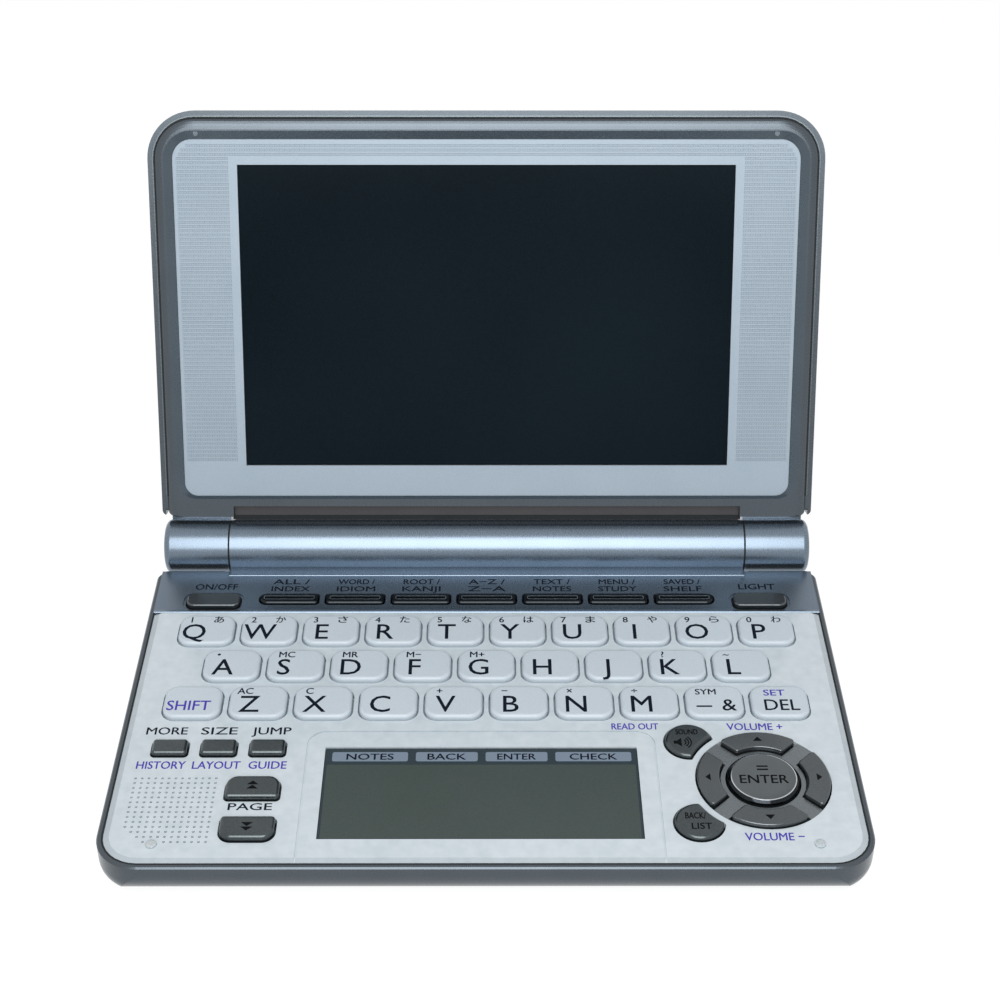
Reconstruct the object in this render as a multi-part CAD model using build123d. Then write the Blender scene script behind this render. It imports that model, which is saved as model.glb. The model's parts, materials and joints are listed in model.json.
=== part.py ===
from build123d import *
import math
import os

# Electronic dictionary: a keyboard base and a display lid on a barrel hinge.
# Millimetres.  X to the right, Y away from the user, Z up, Z = 0 under the feet.
# Every plan position is measured from the hinge axis, from the front wall or from the
# side walls, and the finished pieces are moved so that Y = 0 is mid-footprint.

# ---- overall ----
BODY_WIDTH = 150.0
BASE_REACH = 99.0            # hinge axis to front wall
LID_SETBACK = 0.35           # free edge of the closed lid behind the front wall
FOOT_HEIGHT = 0.5
AXIS_RISE = 1.7              # hinge axis above the deck
REST_OPENING = 111.56        # lid angle as it stands, 0 is closed

# ---- base shells ----
FRONT_CORNER_R = 8.8
REAR_CORNER_R = 2.0
UNDERSIDE_R = 5.0
UNDERSIDE_FRONT_R = 6.8       # lower front edge, rounder than the sides
CASE_WALL = 1.95
RIM_WIDTH = 0.95             # the case narrows to this beside the deck
CASE_FLOOR = 1.2
RIM_DROP = 0.3               # rim of the case below the deck
RIM_CHAMFER = 0.3
DECK_THICKNESS = 1.2
DECK_SHOULDER_RUN = 1.5
DECK_SHOULDER_DROP = 0.45
SEAM = 0.1                   # gap between shells that meet
OVER = 1.0                   # how far a cutter runs past what it cuts
STRIP_FRONT = 22.45          # hinge axis to front edge of the rear top cover
CASE_REAR = 7.4              # hinge axis to rear wall of the base ends
LEDGE_FRONT = 9.4
LEDGE_RISE = 0.3

# ---- hinge barrel and battery bay ----
BARREL_WALL = 0.85
BARREL_SIDE = 16.3           # side wall to the end of the fixed middle barrel
KNUCKLE_GAP = 0.4
KNUCKLE_END_INSET = 0.9      # knuckle end inside the side of the lid
KNUCKLE_END_R = 1.4
PIN_R = 2.0
PIN_CLEARANCE = 0.05
PIN_IN_BARREL = 7.5
PIN_IN_KNUCKLE = 11.5
CELL_R = 5.15
CELL_PLAY = 0.2              # cell to barrel wall
CELL_LENGTH = 43.7
CELL_NUB_R = 1.9
CELL_NUB_LENGTH = 0.8
CELL_GAP = 0.15
CELL_END_ROOM = 1.4
COVER_TOP_ANGLE = 20.0       # battery cover ends this far below the axis level
COVER_SLOPE = 40.0           # where the slanted wall leaves the barrel circle
COVER_WALL = 0.85
COVER_REACH = 11.5
BAY_FRONT_ANGLE = 215.0      # how far round the barrel wall runs inside the case

# ---- lid ----
LID_DEPTH = 5.5              # bezel face to back of the lid
LID_SIDE_INSET = 0.3         # side of the lid inside the side of the base
LID_CORNER_R = 10.5
LID_LOW_CORNER_R = 1.2
LID_LOW_INNER_R = 0.6        # the same corners inside the wall
LID_BACK_R = 2.4
LID_WALL = 1.4
LID_FLOOR = 1.2              # back wall of the lid
LID_LOW_EDGE = 7.3           # hinge axis to lower edge of the lid
LID_RIM_DROP = 0.4           # rim of the back cover below the bezel face
FRAME_RISE = 1.2             # front frame above the bezel face
FRAME_ROLL_RUN = 2.4         # outer edge of the frame rolls over by a quarter ellipse
FRAME_ROLL_DROP = 1.35
FRAME_ROLL_STEPS = 6
FRAME_SLOPE_RUN = 1.9
FRAME_SLOPE_LOW_RUN = 0.5    # along the lower edge of the bezel
FRAME_SLOPE_DROP = 1.0
FRAME_SIDE = 4.0             # width of the frame beside the bezel
FRAME_TOP = 4.6
FRAME_LOW = 4.7
FRAME_NOTCH = 2.5            # frame edge steps up over the barrel
FRAME_DEPTH = 1.5            # frame below the bezel face
FRAME_LEDGE = 1.5
NECK_DEPTH = 4.1
NECK_LOW = 4.3               # hinge axis to where the neck starts inside the knuckle
NECK_LAP = 0.3
BEZEL_THICKNESS = 1.0
BEZEL_TOP_R = 4.4
BEZEL_LOW_R = 3.0
SCREEN_BESIDE = 14.2         # bezel edge to screen window
SCREEN_ABOVE = 5.55
SCREEN_BELOW = 7.1
DISPLAY_BORDER = 2.6
DISPLAY_THICKNESS = 2.5
NIB_SIDE = 11.3
NIB_ABOVE = 1.3              # bezel to nib
NIB_R = 0.55
LIP_GAP = 0.4                # barrel to the curved lip under the lid
LIP_WALL = 1.4
LIP_START = 4.0              # degrees from the lid's own direction to its back
LIP_END = 38.0

# ---- keys ----
KEY_COLUMNS = 10
KEY_SPACE = 1.6              # between keys in a row
ROW_SPACE = 2.23             # between rows
ROWS_REAR = 2.05             # function strip to the first row
ROWS_FRONT_GAP = 1.04        # third row to the round keys in front of it
KEY_CORNER_R = 2.8
KEY_EDGE_R = 0.7
FINE_EDGE_R = 0.35           # edge of the arrow and strip keys
KEY_RISE = 1.1
KEY_GAP = 0.35               # cap to hole
FLANGE_LIP = 0.5
FLANGE_THICKNESS = 0.8
FLANGE_GAP = 0.15            # flange below the deck
KEY_TRAVEL = 0.8
DOME_R = 2.0
DOME_GAP = 0.05
ROCKER_DOME_R = 1.2

SMALL_KEY_WIDTH = 7.1
SMALL_KEY_DEPTH = 4.2
SMALL_KEY_PITCH = 9.9
SMALL_KEY_RISE = 1.2
SMALL_KEY_SIDE = 10.9        # side wall to centre of the first small key
SMALL_KEY_FRONT = 32.4       # front wall to the centres
PAGE_KEY_WIDTH = 10.6
PAGE_KEY_DEPTH = 5.9
PAGE_KEY_RISE = 1.3
PAGE_KEY_SIDE = 28.9
PAGE_UP_FRONT = 20.75
PAGE_DOWN_FRONT = 9.6
PAGE_KEY_BIG_R = 2.4
SMALL_CORNER_R = 0.7
LENS_KEY_R = 4.8
LENS_KEY_RISE = 0.9
LENS_CUT_R = 15.2
AUDIO_SIDE = 33.8
AUDIO_FRONT = 34.4
LIST_SIDE = 33.6
LIST_FRONT = 11.5
STRIP_KEY_WIDTH = 11.8
STRIP_KEY_DEPTH = 4.5
STRIP_KEY_CORNER_R = 1.6
STRIP_KEY_RISE = 0.8
STRIP_KEY_SIDE = 13.95
STRIP_KEY_FRONT = 4.0        # front of the strip to centres of power and backlight keys
STRIP_RECESS = 0.9
STRIP_RECESS_DEPTH = 0.3
BAR_COUNT = 7
BAR_MARGIN = 24.25           # side wall to the first bar
BAR_SPACE = 1.75
BAR_DEPTH = 3.4
BAR_RISE = 0.5
BAR_END_R = 1.55             # outer end of the first and the last bar
BAR_FRONT = 4.85             # front of the strip to the middle of the bars
COMB_TRAVEL = 0.5

# ---- navigation cluster ----
NAV_SIDE = 19.8
NAV_FRONT = 23.35
NAV_R = 13.55
NAV_PLATE_DROP = 0.15
NAV_PLATE_THICKNESS = 0.95
NAV_RING_R = 8.45
NAV_ARM_WIDTH = 3.6
NAV_LIP = 0.9
NAV_LIP_THICKNESS = 0.7
NAV_RISE = 0.95
ENTER_R = 7.2
ENTER_RISE = 1.0
ROCKER_GAP = 0.3
ROCKER_TILT = 2.0
ROCKER_RING_IN = 8.35
ROCKER_RING_OUT = 9.6
ROCKER_RING_T = 0.6
ROCKER_ROOM = 0.5            # free height above each ring

# ---- handwriting window ----
WINDOW_LEFT = 42.4           # side walls to the window
WINDOW_RIGHT = 44.4
WINDOW_DEPTH = 25.8
WINDOW_FRONT = 7.3           # front wall to front edge of the window
WINDOW_DROP = 0.35
WINDOW_GAP = 0.1
MODULE_BORDER = 1.6
MODULE_DEPTH = 1.8
GROOVE_WIDTH = 0.35
GROOVE_DEPTH = 0.3
GROOVE_SIDE = 3.85           # window edge to groove
GROOVE_REAR = 4.8
GROOVE_R = 4.0

# ---- speaker ----
GRILLE_COLUMNS = 13
GRILLE_ROWS = 14
GRILLE_PITCH = 1.34
GRILLE_HOLE_R = 0.28
GRILLE_SIDE = 5.2            # side wall to first column
GRILLE_FRONT = 6.6
GRILLE_CORNER_CUT = 3
SPEAKER_R = 7.5
SPEAKER_HEIGHT = 3.0
BASKET_HEIGHT = 1.5
MAGNET_R = 5.2
CONE_R = 6.0
CONE_DEPTH = 0.6

# ---- bumpers, screws, feet ----
BUMPER_SIDE = 10.95
BUMPER_FRONT = 5.9
BUMPER_R = 1.05
BUMPER_RISE = 0.4
POST_R = 1.6
POST_SIDE = 5.4              # side wall to the side posts
POST_GAP = 0.4               # post to the part it stands beside
POST_KEY_GAP = 0.3           # side posts to the key flanges
POST_MID_FRONT = 41.9        # front wall to the middle pair of side posts
POST_RIGHT_FRONT = 10.4
POST_PAGE_FRONT = 15.0
SCREW_R = 0.8
SCREW_HEAD_R = 1.4
SCREW_HEAD = 0.9
SCREW_LENGTH = 5.0
SCREW_GAP = 0.2
SCREW_SEAT = 0.05            # play under the head and round the thread
BOSS_R = 2.4
BOSS_TOP = 1.7               # boss above the case floor
FOOT_R = 3.5
FOOT_SIDE = 15.0
FOOT_FRONT = 11.0
FOOT_AXIS = 16.5

# ---- board, membrane, stylus ----
BOARD_THICKNESS = 0.8
SHEET_THICKNESS = 0.5
BOARD_SIDE = 7.0             # side wall to board
BOARD_FRONT = 3.5
BOARD_REAR = 13.0            # hinge axis to board
POST_HOLE_GAP = 0.5
# centre across, centre from the rear edge of the board, width, depth, height
CHIPS = (
    (-20, 37, 14, 14, 1.2),
    (9, 39, 10, 14, 1.0),
    (24, 35, 8, 8, 0.9),
    (-30, 15, 12, 5, 1.8),
    (12, 13, 20, 4, 1.6),
)
SUPPORT_R = 1.6
SUPPORT_COLUMNS = (-45.0, 0.0, 41.0)
SUPPORT_INSET = 3.0          # board edge to the outer rows of supports
SHEET_INSET = 0.5
STYLUS_WIDTH = 5.0
STYLUS_HEIGHT = 2.5
STYLUS_FRONT = 5.6           # front wall to the tip of the stylus
STYLUS_SIDE = 11.0
STYLUS_TIP = 7.0
STYLUS_TIP_R = 1.2
STYLUS_POINT_R = 0.5
STYLUS_GAP = 0.2
RAIL_WIDTH = 0.8

# ---- derived levels and places ----
HALF_W = BODY_WIDTH / 2
FRONT_Y = -BASE_REACH
INNER_HEIGHT = 2 * STYLUS_GAP + STYLUS_HEIGHT + BOARD_THICKNESS + SPEAKER_HEIGHT + 2 * SEAM
CASE_HEIGHT = CASE_FLOOR + INNER_HEIGHT + DECK_THICKNESS
DECK_Z = FOOT_HEIGHT + CASE_HEIGHT
DECK_UNDER = DECK_Z - DECK_THICKNESS
AXIS_Z = DECK_Z + AXIS_RISE
FLOOR_Z = FOOT_HEIGHT + CASE_FLOOR
RIM_Z = DECK_Z - RIM_DROP
FLANGE_TOP = DECK_UNDER - FLANGE_GAP
FLANGE_BOTTOM = FLANGE_TOP - FLANGE_THICKNESS
DOME_TOP = FLANGE_BOTTOM - KEY_TRAVEL - DOME_GAP
BOARD_TOP = DECK_UNDER - SPEAKER_HEIGHT - 2 * SEAM
BOARD_BOTTOM = BOARD_TOP - BOARD_THICKNESS
SHEET_TOP = BOARD_TOP + SHEET_THICKNESS
KEY_MARGIN = POST_SIDE + POST_R + POST_KEY_GAP + FLANGE_LIP
KEY_PITCH = (BODY_WIDTH - 2 * KEY_MARGIN + KEY_SPACE) / KEY_COLUMNS
KEY_WIDTH = KEY_PITCH - KEY_SPACE
ROWS_FRONT = AUDIO_FRONT + LENS_KEY_R + 2 * FLANGE_LIP + ROWS_FRONT_GAP
ROWS_SPAN = BASE_REACH - ROWS_FRONT - STRIP_FRONT - ROWS_REAR
KEY_DEPTH = (ROWS_SPAN - 2 * ROW_SPACE) / 3
ROW_PITCH = KEY_DEPTH + ROW_SPACE
FIRST_ROW = STRIP_FRONT + ROWS_REAR + KEY_DEPTH / 2
STRIP_KEY_AXIS = STRIP_FRONT - STRIP_KEY_FRONT
BAR_AXIS = STRIP_FRONT - BAR_FRONT
BAR_PITCH = (BODY_WIDTH - 2 * BAR_MARGIN + BAR_SPACE) / BAR_COUNT
BAR_WIDTH = BAR_PITCH - BAR_SPACE
POST_LEFT_FRONT = SMALL_KEY_FRONT - SMALL_KEY_DEPTH / 2 - FLANGE_LIP - POST_R - POST_GAP
WINDOW_WIDTH = BODY_WIDTH - WINDOW_LEFT - WINDOW_RIGHT
WINDOW_CENTRE_X = (WINDOW_LEFT - WINDOW_RIGHT) / 2
NAV_X = HALF_W - NAV_SIDE
NAV_Y = FRONT_Y + NAV_FRONT
WINDOW_Y = FRONT_Y + WINDOW_FRONT + WINDOW_DEPTH / 2
BAY_HALF = CELL_GAP + CELL_LENGTH + CELL_NUB_LENGTH + CELL_END_ROOM
BARREL_IN_R = CELL_R + CELL_PLAY
BARREL_R = BARREL_IN_R + BARREL_WALL
BARREL_HALF = HALF_W - BARREL_SIDE
KNUCKLE_START = BARREL_HALF + KNUCKLE_GAP
LID_HALF = HALF_W - LID_SIDE_INSET
KNUCKLE_END = LID_HALF - KNUCKLE_END_INSET
FRAME_HALF = LID_HALF - LID_WALL - SEAM
BEZEL_HALF = FRAME_HALF - FRAME_SIDE
BEZEL_LOW = LID_LOW_EDGE + FRAME_LOW
LID_REACH = BASE_REACH - LID_SETBACK
FRAME_HIGH = LID_REACH - LID_WALL - SEAM
BEZEL_HIGH = FRAME_HIGH - FRAME_TOP
SCREEN_WIDTH = 2 * (BEZEL_HALF - SCREEN_BESIDE)
SCREEN_LOW = BEZEL_LOW + SCREEN_BELOW
SCREEN_HEIGHT = BEZEL_HIGH - SCREEN_ABOVE - SCREEN_LOW
NIB_X = HALF_W - NIB_SIDE
SPEAKER_X = -HALF_W + GRILLE_SIDE + GRILLE_PITCH * (GRILLE_COLUMNS - 1) / 2
SPEAKER_Y = FRONT_Y + GRILLE_FRONT + GRILLE_PITCH * (GRILLE_ROWS - 1) / 2
STYLUS_LENGTH = BASE_REACH - CASE_REAR - STYLUS_FRONT
STYLUS_X = HALF_W - STYLUS_SIDE
STYLUS_Z = FLOOR_Z + STYLUS_GAP + STYLUS_HEIGHT / 2

KEY_ROWS = (
    list("qwertyuiop"),
    list("asdfghjkl"),
    ["shift"] + list("zxcvbnm") + ["symbol", "delete"],
)


# ---- helpers ----
def prism(face, bottom, top):
    return Pos(0, 0, bottom) * extrude(face, amount=top - bottom)


def disc(x, y, radius, bottom, top):
    return prism(Pos(x, y) * Circle(radius), bottom, top)


def block(x0, x1, y0, y1, z0, z1):
    return Pos((x0 + x1) / 2, (y0 + y1) / 2, (z0 + z1) / 2) * Box(x1 - x0, y1 - y0, z1 - z0)


def along_x(face, x0, x1):
    """Extrude a face drawn in (Y, Z) from x0 to x1."""
    plane = Plane(origin=(x0, 0, 0), x_dir=(0, 1, 0), z_dir=(1, 0, 0))
    return extrude(plane * face, amount=x1 - x0)


def bar_along_x(y, z, radius, x0, x1):
    return along_x(Pos(y, z) * Circle(radius), x0, x1)


def round_top(part, radius):
    return fillet(part.edges().group_by(Axis.Z)[-1], radius)


def plan_rectangle(x0, x1, y0, y1, front_r, rear_r):
    """Rectangle with one radius, which may be 0, on its front corners and another on its rear ones."""
    face = Pos((x0 + x1) / 2, (y0 + y1) / 2) * Rectangle(x1 - x0, y1 - y0)
    if front_r:
        face = fillet(face.vertices().group_by(Axis.Y)[0], front_r)
    return fillet(face.vertices().group_by(Axis.Y)[-1], rear_r)


# ---- key outlines, each in plan at its own place ----
def letter_key_outlines():
    outlines = {}
    for row, names in enumerate(KEY_ROWS):
        for column, name in enumerate(names):
            x = (column - (len(names) - 1) / 2) * KEY_PITCH
            y = -FIRST_ROW - row * ROW_PITCH
            outlines["key_" + name] = Pos(x, y) * RectangleRounded(KEY_WIDTH, KEY_DEPTH, KEY_CORNER_R)
    return outlines


def small_key_outlines():
    names = ("key_more_search", "key_text_size", "key_jump")
    outlines = {}
    for i, name in enumerate(names):
        x = -HALF_W + SMALL_KEY_SIDE + i * SMALL_KEY_PITCH
        face = RectangleRounded(SMALL_KEY_WIDTH, SMALL_KEY_DEPTH, SMALL_CORNER_R)
        outlines[name] = Pos(x, FRONT_Y + SMALL_KEY_FRONT) * face
    return outlines


def page_key_outline(front, front_r, rear_r):
    x = -HALF_W + PAGE_KEY_SIDE
    y = FRONT_Y + front
    half_w = PAGE_KEY_WIDTH / 2
    half_d = PAGE_KEY_DEPTH / 2
    return plan_rectangle(x - half_w, x + half_w, y - half_d, y + half_d, front_r, rear_r)


def lens_key_outline(side, front):
    """A disc bitten by a circle that runs round the navigation ring."""
    disc_face = Pos(HALF_W - side, FRONT_Y + front) * Circle(LENS_KEY_R)
    return disc_face - Pos(NAV_X, NAV_Y) * Circle(LENS_CUT_R)


def strip_key_outline(direction):
    face = RectangleRounded(STRIP_KEY_WIDTH, STRIP_KEY_DEPTH, STRIP_KEY_CORNER_R)
    return Pos(direction * (HALF_W - STRIP_KEY_SIDE), -STRIP_KEY_AXIS) * face


def bar_outlines():
    """Seven bars; the outer ends of the first and the last are half round."""
    faces = []
    for i in range(BAR_COUNT):
        x = (i - (BAR_COUNT - 1) / 2) * BAR_PITCH
        left_r = BAR_END_R if i == 0 else SMALL_CORNER_R
        right_r = BAR_END_R if i == BAR_COUNT - 1 else SMALL_CORNER_R
        face = Rectangle(BAR_WIDTH, BAR_DEPTH)
        face = fillet(face.vertices().group_by(Axis.X)[0], left_r)
        face = fillet(face.vertices().group_by(Axis.X)[-1], right_r)
        faces.append(Pos(x, -BAR_AXIS) * face)
    return faces


def arrow_outline(angle, gap):
    """One quarter of the ring, between two diagonal arms, shrunk by gap."""
    ring = Circle(NAV_R - gap) - Circle(NAV_RING_R + gap)
    apex = (NAV_ARM_WIDTH / 2 + gap) * math.sqrt(2)
    far = apex + 2 * NAV_R
    wedge = Polygon((apex, 0), (far, -2 * NAV_R), (far, 2 * NAV_R), align=None)
    face = ring & wedge
    face = fillet(face.vertices(), SMALL_CORNER_R)
    return Pos(NAV_X, NAV_Y) * Rot(0, 0, angle) * face


def pressed_key(outline, rise, edge_r=KEY_EDGE_R):
    """Key cap with a flange that the deck keeps in."""
    cap = round_top(prism(outline, FLANGE_BOTTOM, DECK_Z + rise), edge_r)
    flange = prism(offset(outline, FLANGE_LIP), FLANGE_BOTTOM, FLANGE_TOP)
    return cap + flange


# ---- screw places ----
def screw_places():
    side = HALF_W - POST_SIDE
    beside_page = -HALF_W + PAGE_KEY_SIDE + PAGE_KEY_WIDTH / 2 + FLANGE_LIP + POST_R + POST_GAP
    beside_lens = NAV_X - LENS_CUT_R - POST_R - POST_GAP
    return [
        (-side, -FIRST_ROW),
        (side, -FIRST_ROW),
        (-side, FRONT_Y + POST_MID_FRONT),
        (side, FRONT_Y + POST_MID_FRONT),
        (-side, FRONT_Y + POST_LEFT_FRONT),
        (side - POST_GAP, FRONT_Y + POST_RIGHT_FRONT),
        (beside_page, FRONT_Y + POST_PAGE_FRONT),
        (beside_lens, NAV_Y),
    ]


# ---- base ----
def case_plan(inset):
    side = HALF_W - inset
    front_r = FRONT_CORNER_R - inset
    return plan_rectangle(-side, side, FRONT_Y + inset, -CASE_REAR - inset, front_r, REAR_CORNER_R)


def tangent_point(radius, floor):
    """Where the slanted rear wall, tangent to the barrel, meets a floor level."""
    a = math.radians(COVER_SLOPE)
    drop = AXIS_Z - radius * math.sin(a) - floor
    return radius * math.cos(a) - drop * math.tan(a)


def rear_profile(radius, floor):
    """Side outline of the rear of the base: floor, slanted wall and barrel circle."""
    a = math.radians(COVER_SLOPE)
    touch = (radius * math.cos(a), AXIS_Z - radius * math.sin(a))
    start = -2 * COVER_REACH
    wedge = Polygon(
        (start, floor),
        (tangent_point(radius, floor), floor),
        touch,
        (0, AXIS_Z),
        (start, AXIS_Z),
        align=None,
    )
    return wedge + Pos(0, AXIS_Z) * Circle(radius)


def case_cheek(side):
    """Solid end of the battery bay, under the barrel."""
    top = DECK_UNDER - SEAM
    reach = 2 * (CASE_REAR + CASE_WALL)
    below = Pos(0, (FOOT_HEIGHT + top) / 2) * Rectangle(reach, top - FOOT_HEIGHT)
    face = rear_profile(BARREL_R, FOOT_HEIGHT) & below
    face = face - Pos(0, AXIS_Z) * Circle(BARREL_R + SEAM)
    cheek = along_x(face, BAY_HALF + SEAM, BARREL_HALF)
    return cheek if side > 0 else mirror(cheek, Plane.YZ)


def front_round(wall, floor):
    """Long cutter that rounds the lower front edge, for a wall this far in and a floor this high."""
    radius = UNDERSIDE_FRONT_R - wall
    y = FRONT_Y + wall
    corner = Pos(y + (radius - OVER) / 2, floor + (radius - OVER) / 2) * Rectangle(radius + OVER, radius + OVER)
    face = corner - Pos(y + radius, floor + radius) * Circle(radius)
    return along_x(face, -HALF_W - OVER, HALF_W + OVER)


def base_lower_case():
    shell = prism(case_plan(0.0), FOOT_HEIGHT, RIM_Z)
    low = shell.edges().group_by(Axis.Z)[0].sort_by(Axis.Y)[:-3]
    shell = fillet(low, UNDERSIDE_R)
    shell = chamfer(shell.edges().group_by(Axis.Z)[-1], RIM_CHAMFER)
    shell = shell - front_round(0, FOOT_HEIGHT)
    cavity = prism(case_plan(CASE_WALL), FLOOR_Z, DECK_Z + CASE_HEIGHT)
    cavity = fillet(cavity.edges().group_by(Axis.Z)[0], UNDERSIDE_R - CASE_WALL)
    shell = shell - (cavity - front_round(CASE_WALL, FLOOR_Z))
    door = block(-BAY_HALF - SEAM, BAY_HALF + SEAM, -COVER_REACH - SEAM, 0, 0, DECK_Z)
    shell = shell - door
    shell = shell - prism(case_plan(RIM_WIDTH), DECK_UNDER - SEAM, DECK_Z)
    side = HALF_W - RIM_WIDTH
    seat_front = -CASE_REAR - CASE_WALL - REAR_CORNER_R
    shell = shell - block(-side, side, seat_front, 0, DECK_UNDER - SEAM, DECK_Z)
    shell = shell - bar_along_x(0, AXIS_Z, BARREL_R + SEAM, -BARREL_HALF, BARREL_HALF)
    shell = shell + case_cheek(1) + case_cheek(-1)
    for x, y in screw_places():
        shell = shell + disc(x, y, BOSS_R, FLOOR_Z - CASE_FLOOR / 2, FLOOR_Z + BOSS_TOP)
    shell = shell + board_supports() + stylus_rails()
    cuts = []
    for x, y in screw_places():
        seat = FOOT_HEIGHT + SCREW_GAP + SCREW_HEAD + SCREW_SEAT
        cuts.append(disc(x, y, SCREW_HEAD_R + SCREW_GAP, 0, seat))
        cuts.append(disc(x, y, SCREW_R + SCREW_GAP, 0, DECK_Z))
    return shell - cuts - stylus_slot()


def board_supports():
    rows = (
        -BOARD_REAR - 2 * SUPPORT_INSET,
        -FIRST_ROW - ROW_PITCH,
        FRONT_Y + SMALL_KEY_FRONT,
        FRONT_Y + BOARD_FRONT + SUPPORT_INSET,
    )
    pillars = []
    for x in SUPPORT_COLUMNS:
        for y in rows:
            pillars.append(disc(x, y, SUPPORT_R, FLOOR_Z - CASE_FLOOR / 2, BOARD_BOTTOM))
    return pillars


def stylus_rails():
    rails = []
    y0 = -CASE_REAR - STYLUS_LENGTH
    y1 = -CASE_REAR - CASE_WALL / 2
    z0 = FLOOR_Z - CASE_FLOOR / 2
    z1 = STYLUS_Z + STYLUS_HEIGHT / 2
    for side in (-1, 1):
        x = STYLUS_X + side * (STYLUS_WIDTH / 2 + STYLUS_GAP + RAIL_WIDTH / 2)
        rails.append(block(x - RAIL_WIDTH / 2, x + RAIL_WIDTH / 2, y0, y1, z0, z1))
    return rails


def stylus_section(grow):
    return SlotOverall(STYLUS_WIDTH + 2 * grow, STYLUS_HEIGHT + 2 * grow)


def stylus_slot():
    start = (STYLUS_X, -CASE_REAR - 2 * CASE_WALL, STYLUS_Z)
    plane = Plane(origin=start, x_dir=(1, 0, 0), z_dir=(0, 1, 0))
    return extrude(plane * stylus_section(STYLUS_GAP), amount=3 * CASE_WALL)


def stylus():
    length = STYLUS_LENGTH - STYLUS_TIP
    start = (STYLUS_X, -CASE_REAR, STYLUS_Z)
    plane = Plane(origin=start, x_dir=(1, 0, 0), z_dir=(0, -1, 0))
    body = extrude(plane * stylus_section(0), amount=length)
    tip_start = plane.offset(length)
    tip_end = plane.offset(STYLUS_LENGTH)
    cone = loft([tip_start * Circle(STYLUS_TIP_R), tip_end * Circle(STYLUS_POINT_R)])
    return body + cone


def deck_plan(inset):
    side = HALF_W - RIM_WIDTH - inset
    front = FRONT_Y + RIM_WIDTH + inset
    front_r = FRONT_CORNER_R - RIM_WIDTH - inset
    return plan_rectangle(-side, side, front, -STRIP_FRONT - SEAM, front_r, SMALL_CORNER_R)


def window_face(grow):
    """Handwriting window in plan, grown by a margin."""
    return Pos(WINDOW_CENTRE_X, WINDOW_Y) * Rectangle(WINDOW_WIDTH + 2 * grow, WINDOW_DEPTH + 2 * grow)


def window_groove():
    """Fine groove that frames the handwriting window and runs out at the front edge."""
    x0 = WINDOW_CENTRE_X - WINDOW_WIDTH / 2 - GROOVE_SIDE
    x1 = WINDOW_CENTRE_X + WINDOW_WIDTH / 2 + GROOVE_SIDE
    y1 = WINDOW_Y + WINDOW_DEPTH / 2 + GROOVE_REAR
    y0 = FRONT_Y - CASE_WALL
    outer = plan_rectangle(x0, x1, y0, y1, SMALL_CORNER_R, GROOVE_R)
    w = GROOVE_WIDTH
    inner = plan_rectangle(x0 + w, x1 - w, y0 - w, y1 - w, SMALL_CORNER_R, GROOVE_R - w)
    return prism(outer - inner, DECK_Z - GROOVE_DEPTH, DECK_Z + GROOVE_DEPTH)


def grille_holes():
    """Speaker holes on a square grid, with the front outer corner left out."""
    holes = []
    for row in range(GRILLE_ROWS):
        for column in range(GRILLE_COLUMNS):
            if row + column < GRILLE_CORNER_CUT:
                continue
            x = -HALF_W + GRILLE_SIDE + column * GRILLE_PITCH
            y = FRONT_Y + GRILLE_FRONT + row * GRILLE_PITCH
            to_bumper = math.hypot(x + HALF_W - BUMPER_SIDE, y - FRONT_Y - BUMPER_FRONT)
            if to_bumper < BUMPER_R + 2 * GRILLE_HOLE_R:
                continue
            holes.append(disc(x, y, GRILLE_HOLE_R, DECK_UNDER - SEAM, DECK_Z + SEAM))
    return holes


def deck_crown():
    """Soft shoulder along the front and sides of the deck, straight along its rear edge."""
    step = DECK_Z - DECK_SHOULDER_DROP
    low = Pos(0, 0, step) * deck_plan(0)
    high = Pos(0, 0, DECK_Z) * deck_plan(DECK_SHOULDER_RUN)
    rear = -STRIP_FRONT - SEAM
    strip = block(-HALF_W, HALF_W, rear - 2 * DECK_SHOULDER_RUN, rear, step, DECK_Z)
    strip = strip & prism(deck_plan(DECK_SHOULDER_RUN), DECK_UNDER, DECK_Z)
    return loft([low, high], ruled=True) + strip


def keyboard_deck(outlines):
    """White top of the base, with its key holes, screw posts and two lid bumpers."""
    low = DECK_UNDER - SEAM
    high = DECK_Z + SEAM
    deck = prism(deck_plan(0), DECK_UNDER, DECK_Z - DECK_SHOULDER_DROP) + deck_crown()
    cuts = [prism(offset(face, KEY_GAP), low, high) for face in outlines]
    cuts.append(disc(NAV_X, NAV_Y, NAV_R, low, high))
    cuts.append(prism(window_face(0), low, high))
    cuts.append(window_groove())
    deck = deck - cuts
    deck = deck - grille_holes()
    additions = []
    for side in (-1, 1):
        x = side * (HALF_W - BUMPER_SIDE)
        additions.append(disc(x, FRONT_Y + BUMPER_FRONT, BUMPER_R, DECK_UNDER, DECK_Z + BUMPER_RISE))
    bores = []
    post_low = FLOOR_Z + BOSS_TOP + SEAM
    tip = FOOT_HEIGHT + SCREW_GAP + SCREW_HEAD + SCREW_LENGTH
    for x, y in screw_places():
        additions.append(disc(x, y, POST_R, post_low, DECK_Z - DECK_THICKNESS / 2))
        bores.append(disc(x, y, SCREW_R + SCREW_SEAT, FLOOR_Z, tip + SCREW_GAP))
    return (deck + additions) - bores


def bay_gap():
    """Sector that leaves the battery bay open below and behind."""
    far = 3 * BARREL_R
    points = [(0, 0)]
    for degrees in (BAY_FRONT_ANGLE, 270, 360 - COVER_TOP_ANGLE + 1):
        turn = math.radians(degrees)
        points.append((far * math.cos(turn), far * math.sin(turn)))
    return Polygon(*points, align=None)


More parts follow.
